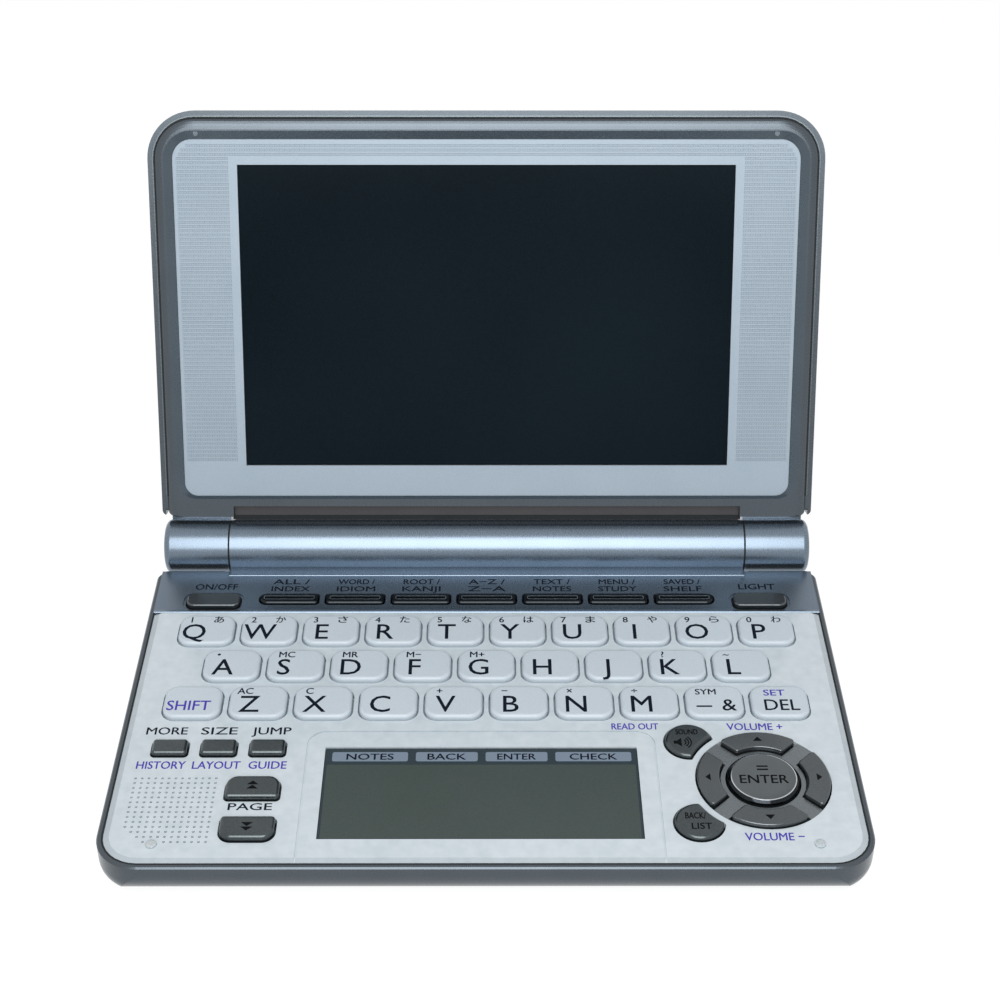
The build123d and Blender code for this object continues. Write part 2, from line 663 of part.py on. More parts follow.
def rear_top_cover():
    """Function key strip, ledge and the fixed middle barrel, in one moulding."""
    side = HALF_W - RIM_WIDTH
    reach = math.sqrt((BARREL_R - BARREL_WALL / 2) ** 2 - AXIS_RISE ** 2)
    plate = block(-side, side, -STRIP_FRONT, -CASE_REAR, DECK_UNDER, DECK_Z)
    plate = plate + block(-BARREL_HALF, BARREL_HALF, -CASE_REAR - OVER, -reach, DECK_UNDER, DECK_Z)
    ledge_top = DECK_Z + LEDGE_RISE
    plate = plate + block(-BARREL_HALF, BARREL_HALF, -LEDGE_FRONT, -reach, DECK_UNDER, ledge_top)
    plate = plate - bar_along_x(0, AXIS_Z, BARREL_R - BARREL_WALL / 4, -BARREL_HALF, BARREL_HALF)
    ring = Circle(BARREL_R) - Circle(BARREL_IN_R)
    cover = plate + along_x(Pos(0, AXIS_Z) * (ring - bay_gap()), -BARREL_HALF, BARREL_HALF)
    cuts = []
    for direction in (-1, 1):
        x0, x1 = sorted((direction * (BAY_HALF + SEAM), direction * BARREL_HALF))
        cover = cover + bar_along_x(0, AXIS_Z, BARREL_R, x0, x1)
        deep = BARREL_HALF - PIN_IN_BARREL - SCREW_GAP
        x0, x1 = sorted((direction * deep, direction * (BARREL_HALF + OVER)))
        cuts.append(bar_along_x(0, AXIS_Z, PIN_R + PIN_CLEARANCE, x0, x1))
        outline = strip_key_outline(direction)
        cuts.append(prism(offset(outline, STRIP_RECESS), DECK_Z - STRIP_RECESS_DEPTH, DECK_Z + OVER))
        cuts.append(prism(offset(outline, KEY_GAP), DECK_UNDER - OVER, DECK_Z))
    for face in bar_outlines():
        cuts.append(prism(offset(face, KEY_GAP), DECK_UNDER - OVER, DECK_Z + OVER))
    return cover - cuts


def battery_cover():
    """Sliding door: underside plate, slanted wall and the rear of the barrel."""
    inner = rear_profile(BARREL_R - COVER_WALL, FOOT_HEIGHT + COVER_WALL)
    shell = rear_profile(BARREL_R, FOOT_HEIGHT) - inner
    far = 2 * BARREL_R
    a = math.radians(COVER_TOP_ANGLE)
    mask = Polygon(
        (-COVER_REACH, 0),
        (far, 0),
        (far, AXIS_Z - far * math.tan(a)),
        (0, AXIS_Z),
        (-COVER_REACH, FLOOR_Z + COVER_WALL),
        align=None,
    )
    return along_x(shell & mask, -BAY_HALF, BAY_HALF)


def batteries():
    cells = []
    for direction in (-1, 1):
        x0, x1 = sorted((direction * CELL_GAP, direction * (CELL_GAP + CELL_LENGTH)))
        cell = bar_along_x(0, AXIS_Z, CELL_R, x0, x1)
        cell = fillet(cell.edges().filter_by(GeomType.CIRCLE), CELL_GAP * 2)
        if direction > 0:
            cell = cell + bar_along_x(0, AXIS_Z, CELL_NUB_R, x1 - OVER, x1 + CELL_NUB_LENGTH)
        cells.append(cell)
    return cells


def navigation_arms(width):
    return Rot(0, 0, 45) * (Rectangle(4 * NAV_R, width) + Rectangle(width, 4 * NAV_R))


def navigation_plate():
    """Fixed X between the arrow keys, with a ring round the enter key and a lip under the deck."""
    top = DECK_Z - NAV_PLATE_DROP
    under = top - NAV_PLATE_THICKNESS
    arms = navigation_arms(NAV_ARM_WIDTH)
    face = (Circle(NAV_RING_R) + arms) & (Circle(NAV_R - SEAM) - Circle(ENTER_R + KEY_GAP))
    plate = prism(face, under, top)
    lip_bottom = FLANGE_TOP - NAV_LIP_THICKNESS
    outer = NAV_R + NAV_LIP
    feet = arms & (Circle(outer) - Circle(ROCKER_RING_OUT + ROCKER_ROOM))
    plate = plate + prism(feet & Circle(NAV_R - SEAM), lip_bottom, top)
    plate = plate + prism(feet, lip_bottom, FLANGE_TOP)
    plate = plate + prism(Circle(outer) - Circle(NAV_R + SEAM / 2), lip_bottom, FLANGE_TOP)
    return Pos(NAV_X, NAV_Y, 0) * plate


def rocker_levels():
    """Underside and top of the upper and the lower rocker ring."""
    upper_top = DECK_Z - NAV_PLATE_DROP - NAV_PLATE_THICKNESS - ROCKER_ROOM
    upper_bottom = upper_top - ROCKER_RING_T
    lower_top = upper_bottom - ROCKER_ROOM
    return upper_bottom, upper_top, lower_top - ROCKER_RING_T, lower_top


def rocker_ring(bottom, top):
    ring = Circle(ROCKER_RING_OUT) - Circle(ROCKER_RING_IN)
    return prism(Pos(NAV_X, NAV_Y) * ring, bottom, top)


def up_down_rocker():
    bottom, top, _, _ = rocker_levels()
    rocker = rocker_ring(bottom, top)
    for angle in (90, -90):
        cap = prism(arrow_outline(angle, ROCKER_GAP), bottom, DECK_Z + NAV_RISE)
        rocker = rocker + round_top(cap, FINE_EDGE_R)
    return rocker


def left_right_rocker():
    _, upper_top, bottom, top = rocker_levels()
    rocker = rocker_ring(bottom, top)
    cap_bottom = upper_top + ROCKER_ROOM + SEAM / 2
    clear = Pos(NAV_X, NAV_Y) * Circle(ROCKER_RING_OUT + ROCKER_GAP)
    for angle in (0, 180):
        outline = arrow_outline(angle, ROCKER_GAP)
        cap = round_top(prism(outline, cap_bottom, DECK_Z + NAV_RISE), FINE_EDGE_R)
        leg = prism(outline - clear, bottom, cap_bottom)
        tab = prism(outline, bottom, top)
        rocker = rocker + cap + leg + tab
    return rocker


def enter_key():
    return pressed_key(Pos(NAV_X, NAV_Y) * Circle(ENTER_R), ENTER_RISE)


def dictionary_key_comb():
    """Seven key bars on one moulded carrier under the strip."""
    comb = []
    for face in bar_outlines():
        comb.append(round_top(prism(face, FLANGE_BOTTOM, DECK_Z + BAR_RISE), KEY_EDGE_R))
    length = (BAR_COUNT - 1) * BAR_PITCH + BAR_WIDTH + 2 * FLANGE_LIP
    carrier = Rectangle(length, BAR_DEPTH + 2 * FLANGE_LIP)
    return prism(Pos(0, -BAR_AXIS) * carrier, FLANGE_BOTTOM, FLANGE_TOP) + comb


def handwriting_display():
    face_z = DECK_Z - WINDOW_DROP
    glass = prism(window_face(-WINDOW_GAP), DECK_UNDER - 2 * SEAM, face_z)
    module = prism(window_face(MODULE_BORDER), DECK_UNDER - SEAM - MODULE_DEPTH, DECK_UNDER - SEAM)
    return glass + module


def speaker():
    top = DECK_UNDER - SEAM
    basket = disc(SPEAKER_X, SPEAKER_Y, SPEAKER_R, top - BASKET_HEIGHT, top)
    magnet = disc(SPEAKER_X, SPEAKER_Y, MAGNET_R, top - SPEAKER_HEIGHT, top)
    cone = disc(SPEAKER_X, SPEAKER_Y, CONE_R, top - CONE_DEPTH, top)
    return (basket + magnet) - cone


def board_plan(inset):
    side = HALF_W - BOARD_SIDE - inset
    y0 = FRONT_Y + BOARD_FRONT + inset
    y1 = -BOARD_REAR - inset
    face = plan_rectangle(-side, side, y0, y1, BOARD_FRONT, SMALL_CORNER_R)
    for x, y in screw_places():
        face = face - Pos(x, y) * Circle(POST_R + POST_HOLE_GAP)
    return face


def circuit_board():
    """Board with its chips soldered underneath."""
    board = prism(board_plan(0), BOARD_BOTTOM, BOARD_TOP)
    for x, y, width, depth, height in CHIPS:
        chip = Pos(x, -BOARD_REAR - y, BOARD_BOTTOM - height / 2) * Box(width, depth, height)
        board = board + chip
    return board


def key_membrane(outlines, bars):
    """Rubber sheet with one dome under each key."""
    round_speaker = Pos(SPEAKER_X, SPEAKER_Y) * Circle(SPEAKER_R + SHEET_INSET)
    sheet = prism(board_plan(SHEET_INSET) - round_speaker, BOARD_TOP, SHEET_TOP)
    domes = []
    for face in outlines:
        c = face.center()
        domes.append(disc(c.X, c.Y, DOME_R, BOARD_TOP, DOME_TOP))
    for face in bars:
        c = face.center()
        domes.append(disc(c.X, c.Y, DOME_R, BOARD_TOP, FLANGE_BOTTOM - COMB_TRAVEL - DOME_GAP))
    upper_bottom, _, _, _ = rocker_levels()
    reach = ROCKER_RING_OUT + ROCKER_ROOM + ROCKER_DOME_R
    drop = NAV_R * math.sin(math.radians(ROCKER_TILT)) + DOME_GAP
    for direction in (-1, 1):
        domes.append(disc(NAV_X, NAV_Y + direction * reach, ROCKER_DOME_R, BOARD_TOP, upper_bottom - drop))
    return sheet + domes


def screws():
    pieces = []
    head_bottom = FOOT_HEIGHT + SCREW_GAP
    head_top = head_bottom + SCREW_HEAD
    for x, y in screw_places():
        head = disc(x, y, SCREW_HEAD_R, head_bottom, head_top)
        pieces.append(head + disc(x, y, SCREW_R, head_top, head_top + SCREW_LENGTH))
    return pieces


def rubber_feet():
    side = HALF_W - FOOT_SIDE
    places = [(x, y) for x in (-side, side) for y in (FRONT_Y + FOOT_FRONT, -FOOT_AXIS)]
    return [disc(x, y, FOOT_R, 0, FOOT_HEIGHT) for x, y in places]


# ---- lid, drawn flat: X across, Y up the lid from the hinge axis, Z out of the bezel ----
def lid_plan(side_inset, low, high, top_r, low_r):
    half = LID_HALF - side_inset
    return plan_rectangle(-half, half, low, high, low_r, top_r)


def lid_back_cover():
    plan = lid_plan(0, LID_LOW_EDGE, LID_REACH, LID_CORNER_R, 0)
    shell = prism(plan, -LID_DEPTH, -LID_RIM_DROP)
    shell = fillet(shell.edges().group_by(Axis.Z)[0], LID_BACK_R)
    for direction in (-1, 1):
        shell = shell - low_corner(direction)
    w = LID_WALL
    inner = lid_plan(w, LID_LOW_EDGE + w, LID_REACH - w, LID_CORNER_R - w, LID_LOW_INNER_R)
    shell = shell - prism(inner, -LID_DEPTH + LID_FLOOR, OVER)
    for direction in (-1, 1):
        x0, x1 = sorted((direction * (KNUCKLE_START - SEAM), direction * (KNUCKLE_END + SEAM)))
        shell = shell - block(x0, x1, 0, LID_LOW_EDGE + w + SEAM, -NECK_DEPTH - SEAM, OVER)
    return shell + barrel_lip()


def low_corner(direction):
    """Cutter that rounds one lower corner of the lid in plan."""
    r = LID_LOW_CORNER_R
    centre = Pos(direction * (LID_HALF - r), LID_LOW_EDGE + r)
    square = centre * Pos(direction * (r + OVER) / 2, -(r + OVER) / 2) * Rectangle(r + OVER, r + OVER)
    return prism(square - centre * Circle(r), -LID_DEPTH - OVER, OVER)


def barrel_lip():
    """Curved lip that closes the view between the lid and the middle barrel."""
    inner = BARREL_R + LIP_GAP
    far = 2 * BARREL_R
    points = [(0, 0)]
    for degrees in (LIP_START, LIP_END):
        turn = math.radians(degrees)
        points.append((far * math.cos(turn), -far * math.sin(turn)))
    face = (Circle(inner + LIP_WALL) - Circle(inner)) & Polygon(*points, align=None)
    half = BARREL_HALF - KNUCKLE_GAP
    return along_x(face, -half, half)


def bezel_plan(grow, low_share=1.0):
    return plan_rectangle(
        -BEZEL_HALF - grow,
        BEZEL_HALF + grow,
        BEZEL_LOW - grow * low_share,
        BEZEL_HIGH + grow,
        BEZEL_LOW_R + grow,
        BEZEL_TOP_R + grow,
    )


def knuckle(direction):
    x0, x1 = sorted((direction * KNUCKLE_START, direction * KNUCKLE_END))
    drum = bar_along_x(0, 0, BARREL_R, x0, x1)
    rings = drum.edges().filter_by(GeomType.CIRCLE).sort_by(Axis.X)
    drum = fillet(rings[-1 if direction > 0 else 0], KNUCKLE_END_R)
    n0, n1 = sorted((direction * KNUCKLE_START, direction * (FRAME_HALF - LID_LOW_CORNER_R / 2)))
    neck = block(n0, n1, NECK_LOW, BEZEL_LOW - NECK_LAP, -NECK_DEPTH, -FRAME_DEPTH + NECK_LAP)
    deep = KNUCKLE_START + PIN_IN_KNUCKLE + SEAM
    b0, b1 = sorted((direction * (KNUCKLE_START - OVER), direction * deep))
    return (drum + neck) - bar_along_x(0, 0, PIN_R, b0, b1)


def frame_slope():
    """Cutter that slants the inner edge of the frame down towards the bezel."""
    steepness = FRAME_SLOPE_DROP / FRAME_SLOPE_RUN
    past = FRAME_SLOPE_RUN / 4
    grows = (-past, FRAME_SLOPE_RUN + past)
    start = FRAME_RISE - FRAME_SLOPE_DROP
    share = FRAME_SLOPE_LOW_RUN / FRAME_SLOPE_RUN
    faces = [Pos(0, 0, start + grow * steepness) * bezel_plan(grow, share) for grow in grows]
    return loft(faces, ruled=True)


def frame_roll(side, top_r):
    """Top of the frame, whose sides and upper edge roll over; its lower edge stays square."""
    layers = []
    for i in range(FRAME_ROLL_STEPS + 1):
        turn = math.radians(90 * i / FRAME_ROLL_STEPS)
        inset = FRAME_ROLL_RUN * (1 - math.cos(turn))
        height = FRAME_RISE - FRAME_ROLL_DROP * (1 - math.sin(turn))
        plan = lid_plan(side + inset, LID_LOW_EDGE, FRAME_HIGH - inset, top_r - inset, LID_LOW_CORNER_R)
        layers.append(Pos(0, 0, height) * plan)
    return loft(layers, ruled=True)


def lid_front_frame():
    """Silver surround of the bezel, with the two outer hinge knuckles."""
    top_r = LID_CORNER_R - LID_WALL - SEAM
    side = LID_WALL + SEAM
    step = -LID_RIM_DROP + SEAM
    upper = prism(lid_plan(side, LID_LOW_EDGE, FRAME_HIGH, top_r, LID_LOW_CORNER_R), step,
                  FRAME_RISE - FRAME_ROLL_DROP)
    upper = upper + frame_roll(side, top_r)
    tuck = side + SEAM
    low = LID_LOW_EDGE + side
    lower = lid_plan(tuck, low, FRAME_HIGH - SEAM, top_r - SEAM, LID_LOW_INNER_R - 2 * SEAM)
    lower = prism(lower, -FRAME_DEPTH, step)
    notch_half = BARREL_HALF - LID_LOW_CORNER_R / 2
    notch = block(-notch_half, notch_half, 0, LID_LOW_EDGE + FRAME_NOTCH, step, FRAME_RISE + OVER)
    frame = upper - notch + lower
    opening = prism(bezel_plan(SEAM / 2), -BEZEL_THICKNESS - SEAM / 2, FRAME_RISE + OVER)
    ledge = prism(bezel_plan(-FRAME_LEDGE), -FRAME_DEPTH - OVER, FRAME_RISE)
    frame = frame - opening - ledge - frame_slope()
    nibs = []
    for direction in (-1, 1):
        x = direction * NIB_X
        nibs.append(disc(x, BEZEL_HIGH + NIB_ABOVE, NIB_R, -LID_RIM_DROP, FRAME_RISE - SEAM))
    return frame + nibs + knuckle(1) + knuckle(-1)


def display_bezel():
    plate = prism(bezel_plan(0), -BEZEL_THICKNESS, 0)
    window = Pos(0, SCREEN_LOW + SCREEN_HEIGHT / 2) * Rectangle(SCREEN_WIDTH, SCREEN_HEIGHT)
    return plate - prism(window, -BEZEL_THICKNESS - OVER, OVER)


def main_display():
    width = SCREEN_WIDTH + 2 * DISPLAY_BORDER
    height = SCREEN_HEIGHT + 2 * DISPLAY_BORDER
    face = Pos(0, SCREEN_LOW + SCREEN_HEIGHT / 2) * Rectangle(width, height)
    front = -BEZEL_THICKNESS - SEAM / 2
    return prism(face, front - DISPLAY_THICKNESS, front)


def hinge_pins():
    pins = []
    for direction in (-1, 1):
        inner = direction * (BARREL_HALF - PIN_IN_BARREL)
        outer = direction * (KNUCKLE_START + PIN_IN_KNUCKLE)
        pins.append(bar_along_x(0, 0, PIN_R, *sorted((inner, outer))))
    return pins


LID_NODES = {
    "lid_back_cover": lid_back_cover,
    "lid_front_frame": lid_front_frame,
    "display_bezel": display_bezel,
    "main_display": main_display,
    "hinge_pins": hinge_pins,
}


def stand_lid(piece):
    """Turn a flat lid piece to its resting angle and lift it to the hinge axis."""
    return Pos(0, 0, AXIS_Z) * Rot(180 - REST_OPENING, 0, 0) * piece


def deck_key_outlines():
    outlines = letter_key_outlines()
    outlines.update(small_key_outlines())
    outlines["key_page_up"] = page_key_outline(PAGE_UP_FRONT, SMALL_CORNER_R, PAGE_KEY_BIG_R)
    outlines["key_page_down"] = page_key_outline(PAGE_DOWN_FRONT, PAGE_KEY_BIG_R, SMALL_CORNER_R)
    outlines["key_audio"] = lens_key_outline(AUDIO_SIDE, AUDIO_FRONT)
    outlines["key_list"] = lens_key_outline(LIST_SIDE, LIST_FRONT)
    return outlines


def key_rise(name):
    if name in small_key_outlines():
        return SMALL_KEY_RISE
    if name.startswith("key_page"):
        return PAGE_KEY_RISE
    if name in ("key_audio", "key_list"):
        return LENS_KEY_RISE
    return KEY_RISE


def build_all():
    keys = deck_key_outlines()
    pieces = {name: pressed_key(face, key_rise(name)) for name, face in keys.items()}
    strip_keys = {"key_power": strip_key_outline(-1), "key_backlight": strip_key_outline(1)}
    for name, face in strip_keys.items():
        pieces[name] = pressed_key(face, STRIP_KEY_RISE, FINE_EDGE_R)
    pieces["key_enter"] = enter_key()
    pieces["up_down_rocker"] = up_down_rocker()
    pieces["left_right_rocker"] = left_right_rocker()
    pieces["dictionary_key_comb"] = dictionary_key_comb()
    pieces["base_lower_case"] = base_lower_case()
    pieces["keyboard_deck"] = keyboard_deck(keys.values())
    pieces["rear_top_cover"] = rear_top_cover()
    pieces["battery_cover"] = battery_cover()
    pieces["batteries"] = batteries()
    pieces["navigation_plate"] = navigation_plate()
    pieces["handwriting_display"] = handwriting_display()
    pieces["speaker"] = speaker()
    pieces["circuit_board"] = circuit_board()
    domes = list(keys.values()) + list(strip_keys.values()) + [Pos(NAV_X, NAV_Y) * Circle(ENTER_R)]
    pieces["key_membrane"] = key_membrane(domes, bar_outlines())
    pieces["stylus"] = stylus()
    pieces["screws"] = screws()
    pieces["rubber_feet"] = rubber_feet()
    for name, make in LID_NODES.items():
        piece = make()
        if isinstance(piece, list):
            pieces[name] = [stand_lid(p) for p in piece]
        else:
            pieces[name] = stand_lid(piece)
    return pieces


def solids_of(piece):
    if isinstance(piece, list):
        return [solid for part in piece for solid in part.solids()]
    return list(piece.solids())


def main():
    nodes = {name: solids_of(piece) for name, piece in build_all().items()}
    boxes = [solid.bounding_box() for solids in nodes.values() for solid in solids]
    hinge_y = -(min(b.min.Y for b in boxes) + max(b.max.Y for b in boxes)) / 2
    print("hinge axis at y", round(hinge_y, 4), "z", AXIS_Z)
    os.makedirs("parts", exist_ok=True)
    for name, solids in nodes.items():
        moved = [Pos(0, hinge_y, 0) * solid for solid in solids]
        export_step(moved[0] if len(moved) == 1 else Compound(moved), f"parts/{name}.step")


main()
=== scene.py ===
"""Looks of an electronic dictionary: a keyboard base and a display lid on a barrel hinge.

Lengths in this file are millimetres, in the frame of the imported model, until MM turns them
into metres. Lid pieces are drawn flat as (across, up the lid from the hinge axis, out of the
bezel) and stood up by LID_PLACE.
"""
import json
import math

import bmesh
import bpy
from bpy.props import FloatProperty, FloatVectorProperty, IntProperty, PointerProperty
from mathutils import Matrix, Vector


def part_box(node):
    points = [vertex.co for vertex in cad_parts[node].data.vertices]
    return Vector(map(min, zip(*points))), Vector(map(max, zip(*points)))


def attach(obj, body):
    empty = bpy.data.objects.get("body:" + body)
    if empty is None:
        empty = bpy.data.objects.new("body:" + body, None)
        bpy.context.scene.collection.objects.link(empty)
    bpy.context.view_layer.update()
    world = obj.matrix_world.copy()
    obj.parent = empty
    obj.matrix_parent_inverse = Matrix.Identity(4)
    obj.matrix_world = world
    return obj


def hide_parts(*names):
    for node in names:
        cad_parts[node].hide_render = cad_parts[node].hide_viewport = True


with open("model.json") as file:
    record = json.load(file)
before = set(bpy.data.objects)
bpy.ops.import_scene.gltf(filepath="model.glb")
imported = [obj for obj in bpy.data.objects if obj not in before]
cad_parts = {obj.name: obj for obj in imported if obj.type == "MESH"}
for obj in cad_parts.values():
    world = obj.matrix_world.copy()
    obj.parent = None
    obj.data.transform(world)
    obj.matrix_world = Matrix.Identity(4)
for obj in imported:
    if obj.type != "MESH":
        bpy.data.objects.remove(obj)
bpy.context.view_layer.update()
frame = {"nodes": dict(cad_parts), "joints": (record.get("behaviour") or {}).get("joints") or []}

bl_info = {
    "name": "Electronic dictionary",
    "version": (1, 0, 0),
    "blender": (4, 5, 0),
    "location": "3D View > Sidebar > Dictionary",
    "description": "Finishes, printed marks, screens, keys and studio of an electronic dictionary",
    "category": "Object",
}

MM = 0.001


# ---- places
def linear(hex_colour):
    """An sRGB hex colour as linear red, green, blue and alpha."""
    channels = []
    for i in (1, 3, 5):
        value = int(hex_colour[i:i + 2], 16) / 255
        channels.append(value / 12.92 if value <= 0.04045 else ((value + 0.055) / 1.055) ** 2.4)
    return (*channels, 1.0)


def box_mm(node):
    """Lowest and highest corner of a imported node, in millimetres."""
    low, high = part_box(node)
    return low / MM, high / MM


def centre_mm(node):
    low, high = box_mm(node)
    return (low + high) / 2


def joint_named(name):
    for joint in frame["joints"]:
        if joint["name"] == name:
            return joint
    raise RuntimeError(f"the packed model has no joint {name}")


HINGE = joint_named("lid_hinge")
AXIS_Y = HINGE["pos_m"][1] / MM
AXIS_Z = HINGE["pos_m"][2] / MM
LID_TILT = math.radians(180 - HINGE["range_deg"][1])
NAV = centre_mm("key_enter")
DECK_TOP = box_mm("key_enter")[1].z - 1.0
IN_MM = Matrix.Scale(MM, 4)
LID_PLACE = IN_MM @ Matrix.Translation((0, AXIS_Y, AXIS_Z)) @ Matrix.Rotation(LID_TILT, 4, "X")
PRINT_THICKNESS = 0.02
CAPITAL_SHARE = 0.682         # height of a capital in the size of the type
LETTER_STRETCH = 0.93
BAR_PITCH = 14.75             # from bar to bar along the strip
DECK_HALF = 75.0
DECK_REACH = 99.0             # hinge axis to the front wall
DECK_CORNER = 8.8
BUMPER_SPOT = (64.05, 5.9)    # to either side of the middle, and behind the front wall
FLOOR_GLOW = 1.12
FLOOR_GLOW_SHARE = 0.8
SOFTBOX_SIZE = (0.40, 0.56)   # metres, as all of the stage
SOFTBOX_PLACE = (0.0, -0.39, 0.50)
CAMERA_PLACE = (0.0012653, -0.3187723, 0.2713306)
CAMERA_TURNS = ((-0.1493, "Z"), (54.6552, "X"), (0.072, "Z"))  # degrees, outermost first
CAMERA_SHIFT = 0.00368

# screen window in the bezel, from the hinge axis up the lid
SCREEN_HALF = 55.0
SCREEN_LOW = 19.1
SCREEN_HIGH = 87.0
BEZEL_HALF = 69.2
BEZEL_LOW = 12.0
BEZEL_HIGH = 92.55
BEZEL_CORNER = 4.4
LID_HALF = 74.7
BARREL_HALF = 58.7
LID_REACH = 98.65
LID_CORNER = 10.5
KNUCKLE_REACH = 7.28          # faces nearer than this to the hinge axis belong to the knuckles
SLOPE_START = 8.0             # the frame's inner slope begins this far up the lid


# ---- materials
def add_node(tree, kind, settings=None, inputs=None, links=None):
    """Add a node, set its properties and sockets, and feed its sockets from other outputs."""
    node = tree.nodes.new(kind)
    for key, value in (settings or {}).items():
        setattr(node, key, value)
    for key, value in (inputs or {}).items():
        node.inputs[key].default_value = value
    for key, source in (links or {}).items():
        tree.links.new(source, node.inputs[key])
    return node


def seen_directly(tree):
    """1 where the camera looks, or a reflection or a clear part shows it, and otherwise 0."""
    path = add_node(tree, "ShaderNodeLightPath").outputs
    seen = path["Is Camera Ray"]
    for ray in ("Is Glossy Ray", "Is Transmission Ray"):
        seen = add_node(tree, "ShaderNodeMath", {"operation": "MAXIMUM"},
                        links={0: seen, 1: path[ray]}).outputs[0]
    return seen


def new_material(name):
    """An empty node material, and its tree and the object coordinates in metres."""
    material = bpy.data.materials.new(name)
    material.use_nodes = True
    tree = material.node_tree
    tree.nodes.clear()
    return material, tree, add_node(tree, "ShaderNodeTexCoord").outputs["Object"]


def shaded(name, colour, second, patch_mm, grain_mm, depth_mm, rough, spread, sockets, mix=1.0):
    """A surface whose colour drifts in patches and whose grain turns roughness and relief.

    colour and second are hex or linear colours, patch_mm and grain_mm the sizes of the two
    patterns, depth_mm how deep the grain is, rough and spread the roughness and how far it strays.
    """
    colour, second = (linear(c) if isinstance(c, str) else c for c in (colour, second))
    material, tree, place = new_material(name)
    patch = add_node(tree, "ShaderNodeTexNoise", inputs={"Scale": 1000 / patch_mm, "Detail": 2.0},
                     links={"Vector": place})
    grain = add_node(tree, "ShaderNodeTexNoise", inputs={"Scale": 1000 / grain_mm, "Detail": 1.0},
                     links={"Vector": place})
    both = add_node(tree, "ShaderNodeMath", {"operation": "MULTIPLY_ADD"}, {1: 0.5},
                    {0: patch.outputs["Fac"], 2: grain.outputs["Fac"]})
    share = add_node(tree, "ShaderNodeMapRange",
                     inputs={"From Min": 0.45, "From Max": 1.05, "To Max": mix},
                     links={"Value": both.outputs[0]})
    tone = add_node(tree, "ShaderNodeMix", {"data_type": "RGBA"}, {"A": colour, "B": second},
                    {"Factor": share.outputs[0]})
    dull = add_node(tree, "ShaderNodeMapRange",
                    inputs={"From Min": 0.3, "From Max": 0.7,
                            "To Min": rough - spread, "To Max": rough + spread},
                    links={"Value": grain.outputs["Fac"]})
    relief = add_node(tree, "ShaderNodeBump", inputs={"Strength": 0.6, "Distance": depth_mm * MM},
                      links={"Height": grain.outputs["Fac"]})
    shader = add_node(tree, "ShaderNodeBsdfPrincipled", inputs=sockets,
                      links={"Base Color": tone.outputs["Result"], "Roughness": dull.outputs[0],
                             "Normal": relief.outputs[0]})
    add_node(tree, "ShaderNodeOutputMaterial", links={"Surface": shader.outputs[0]})
    return material


def material_named(name):
    """A finish that an earlier step made."""
    material = bpy.data.materials.get(name)
    if material is None:
        raise RuntimeError(f"the finish {name} isn't made yet")
    return material


def finishes(*names):
    return [material_named(name) for name in names]


def wear(material, *nodes):
    """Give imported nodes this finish."""
    for name in nodes:
        mesh = frame["nodes"][name].data
        mesh.materials.clear()
        mesh.materials.append(material)


def wear_part(node, material, inside):
    """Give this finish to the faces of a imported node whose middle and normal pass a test."""
    mesh = frame["nodes"][node].data
    mesh.materials.append(material)
    index = len(mesh.materials) - 1
    chosen = [face for face in mesh.polygons if inside(face.center, face.normal)]
    if not chosen:
        raise RuntimeError(f"no face of {node} takes {material.name}")
    for face in chosen:
        face.material_index = index


# ---- meshes
def piece(name, mesh, body, slot, *materials):
    """Link a mesh as a piece that rides a body and wears the given finishes. The slot is not used."""
    mesh.name = name
    for material in materials:
        mesh.materials.append(material)
    made = bpy.data.objects.new(name, mesh)
    bpy.context.scene.collection.objects.link(made)
    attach(made, body)
    return made


def outline_mesh(loops, depth, bevel=0.0):
    """A slab whose plan is these closed loops, inner ones being holes, centred on its depth."""
    curve = bpy.data.curves.new("outline", "CURVE")
    curve.dimensions = "2D"
    curve.fill_mode = "BOTH"
    curve.extrude = depth / 2 - bevel
    curve.bevel_depth = bevel
    curve.bevel_resolution = 2
    curve.offset = -bevel
    for loop in loops:
        spline = curve.splines.new("POLY")
        spline.points.add(len(loop) - 1)
        for point, (x, y) in zip(spline.points, loop):
            point.co = (x, y, 0, 1)
        spline.use_cyclic_u = True
    return curve_mesh(curve)


def letter_mesh(text, height, width=None, weight=0.0):
    """Lettering with capitals this high, centred across, its foot at 0, stretched to a width.

    Two copies stand weight apart to either side, so that each stroke is that much heavier.
    """
    curve = bpy.data.curves.new("lettering", "FONT")
    curve.body = text
    curve.size = height / CAPITAL_SHARE
    curve.resolution_u = 3
    curve.extrude = PRINT_THICKNESS / 2
    mesh = curve_mesh(curve)
    across = [v.co.x for v in mesh.vertices]
    low, high = min(across), max(across)
    stretch = width / (high - low) if width else LETTER_STRETCH
    mesh.transform(Matrix.Diagonal((stretch, 1, 1, 1)) @ Matrix.Translation((-(low + high) / 2, 0, 0)))
    if not weight:
        return mesh
    parts = [(mesh.copy(), Matrix.Translation((side * weight, side * weight / 2, side * 0.002)), 0)
             for side in (-1, 1)]
    bpy.data.meshes.remove(mesh)
    return join(parts, Matrix.Identity(4))


def curve_mesh(curve):
    holder = bpy.data.objects.new("outline", curve)
    mesh = bpy.data.meshes.new_from_object(holder)
    bpy.data.objects.remove(holder)
    bpy.data.curves.remove(curve)
    if not mesh.polygons:
        raise RuntimeError("an outline has no faces")
    return mesh


def join(parts, place=IN_MM):
    """One mesh of parts, each (mesh, place, material slot), moved as a whole by place."""
    bm = bmesh.new()
    for mesh, move, index in parts:
        start = len(bm.faces)
        mesh.transform(move)
        bm.from_mesh(mesh)
        bm.faces.ensure_lookup_table()
        for face in bm.faces[start:]:
            face.material_index = index
        bpy.data.meshes.remove(mesh)
    joined = bpy.data.meshes.new("joined")
    bmesh.ops.transform(bm, matrix=place, verts=bm.verts)
    bm.to_mesh(joined)
    bm.free()
    return joined


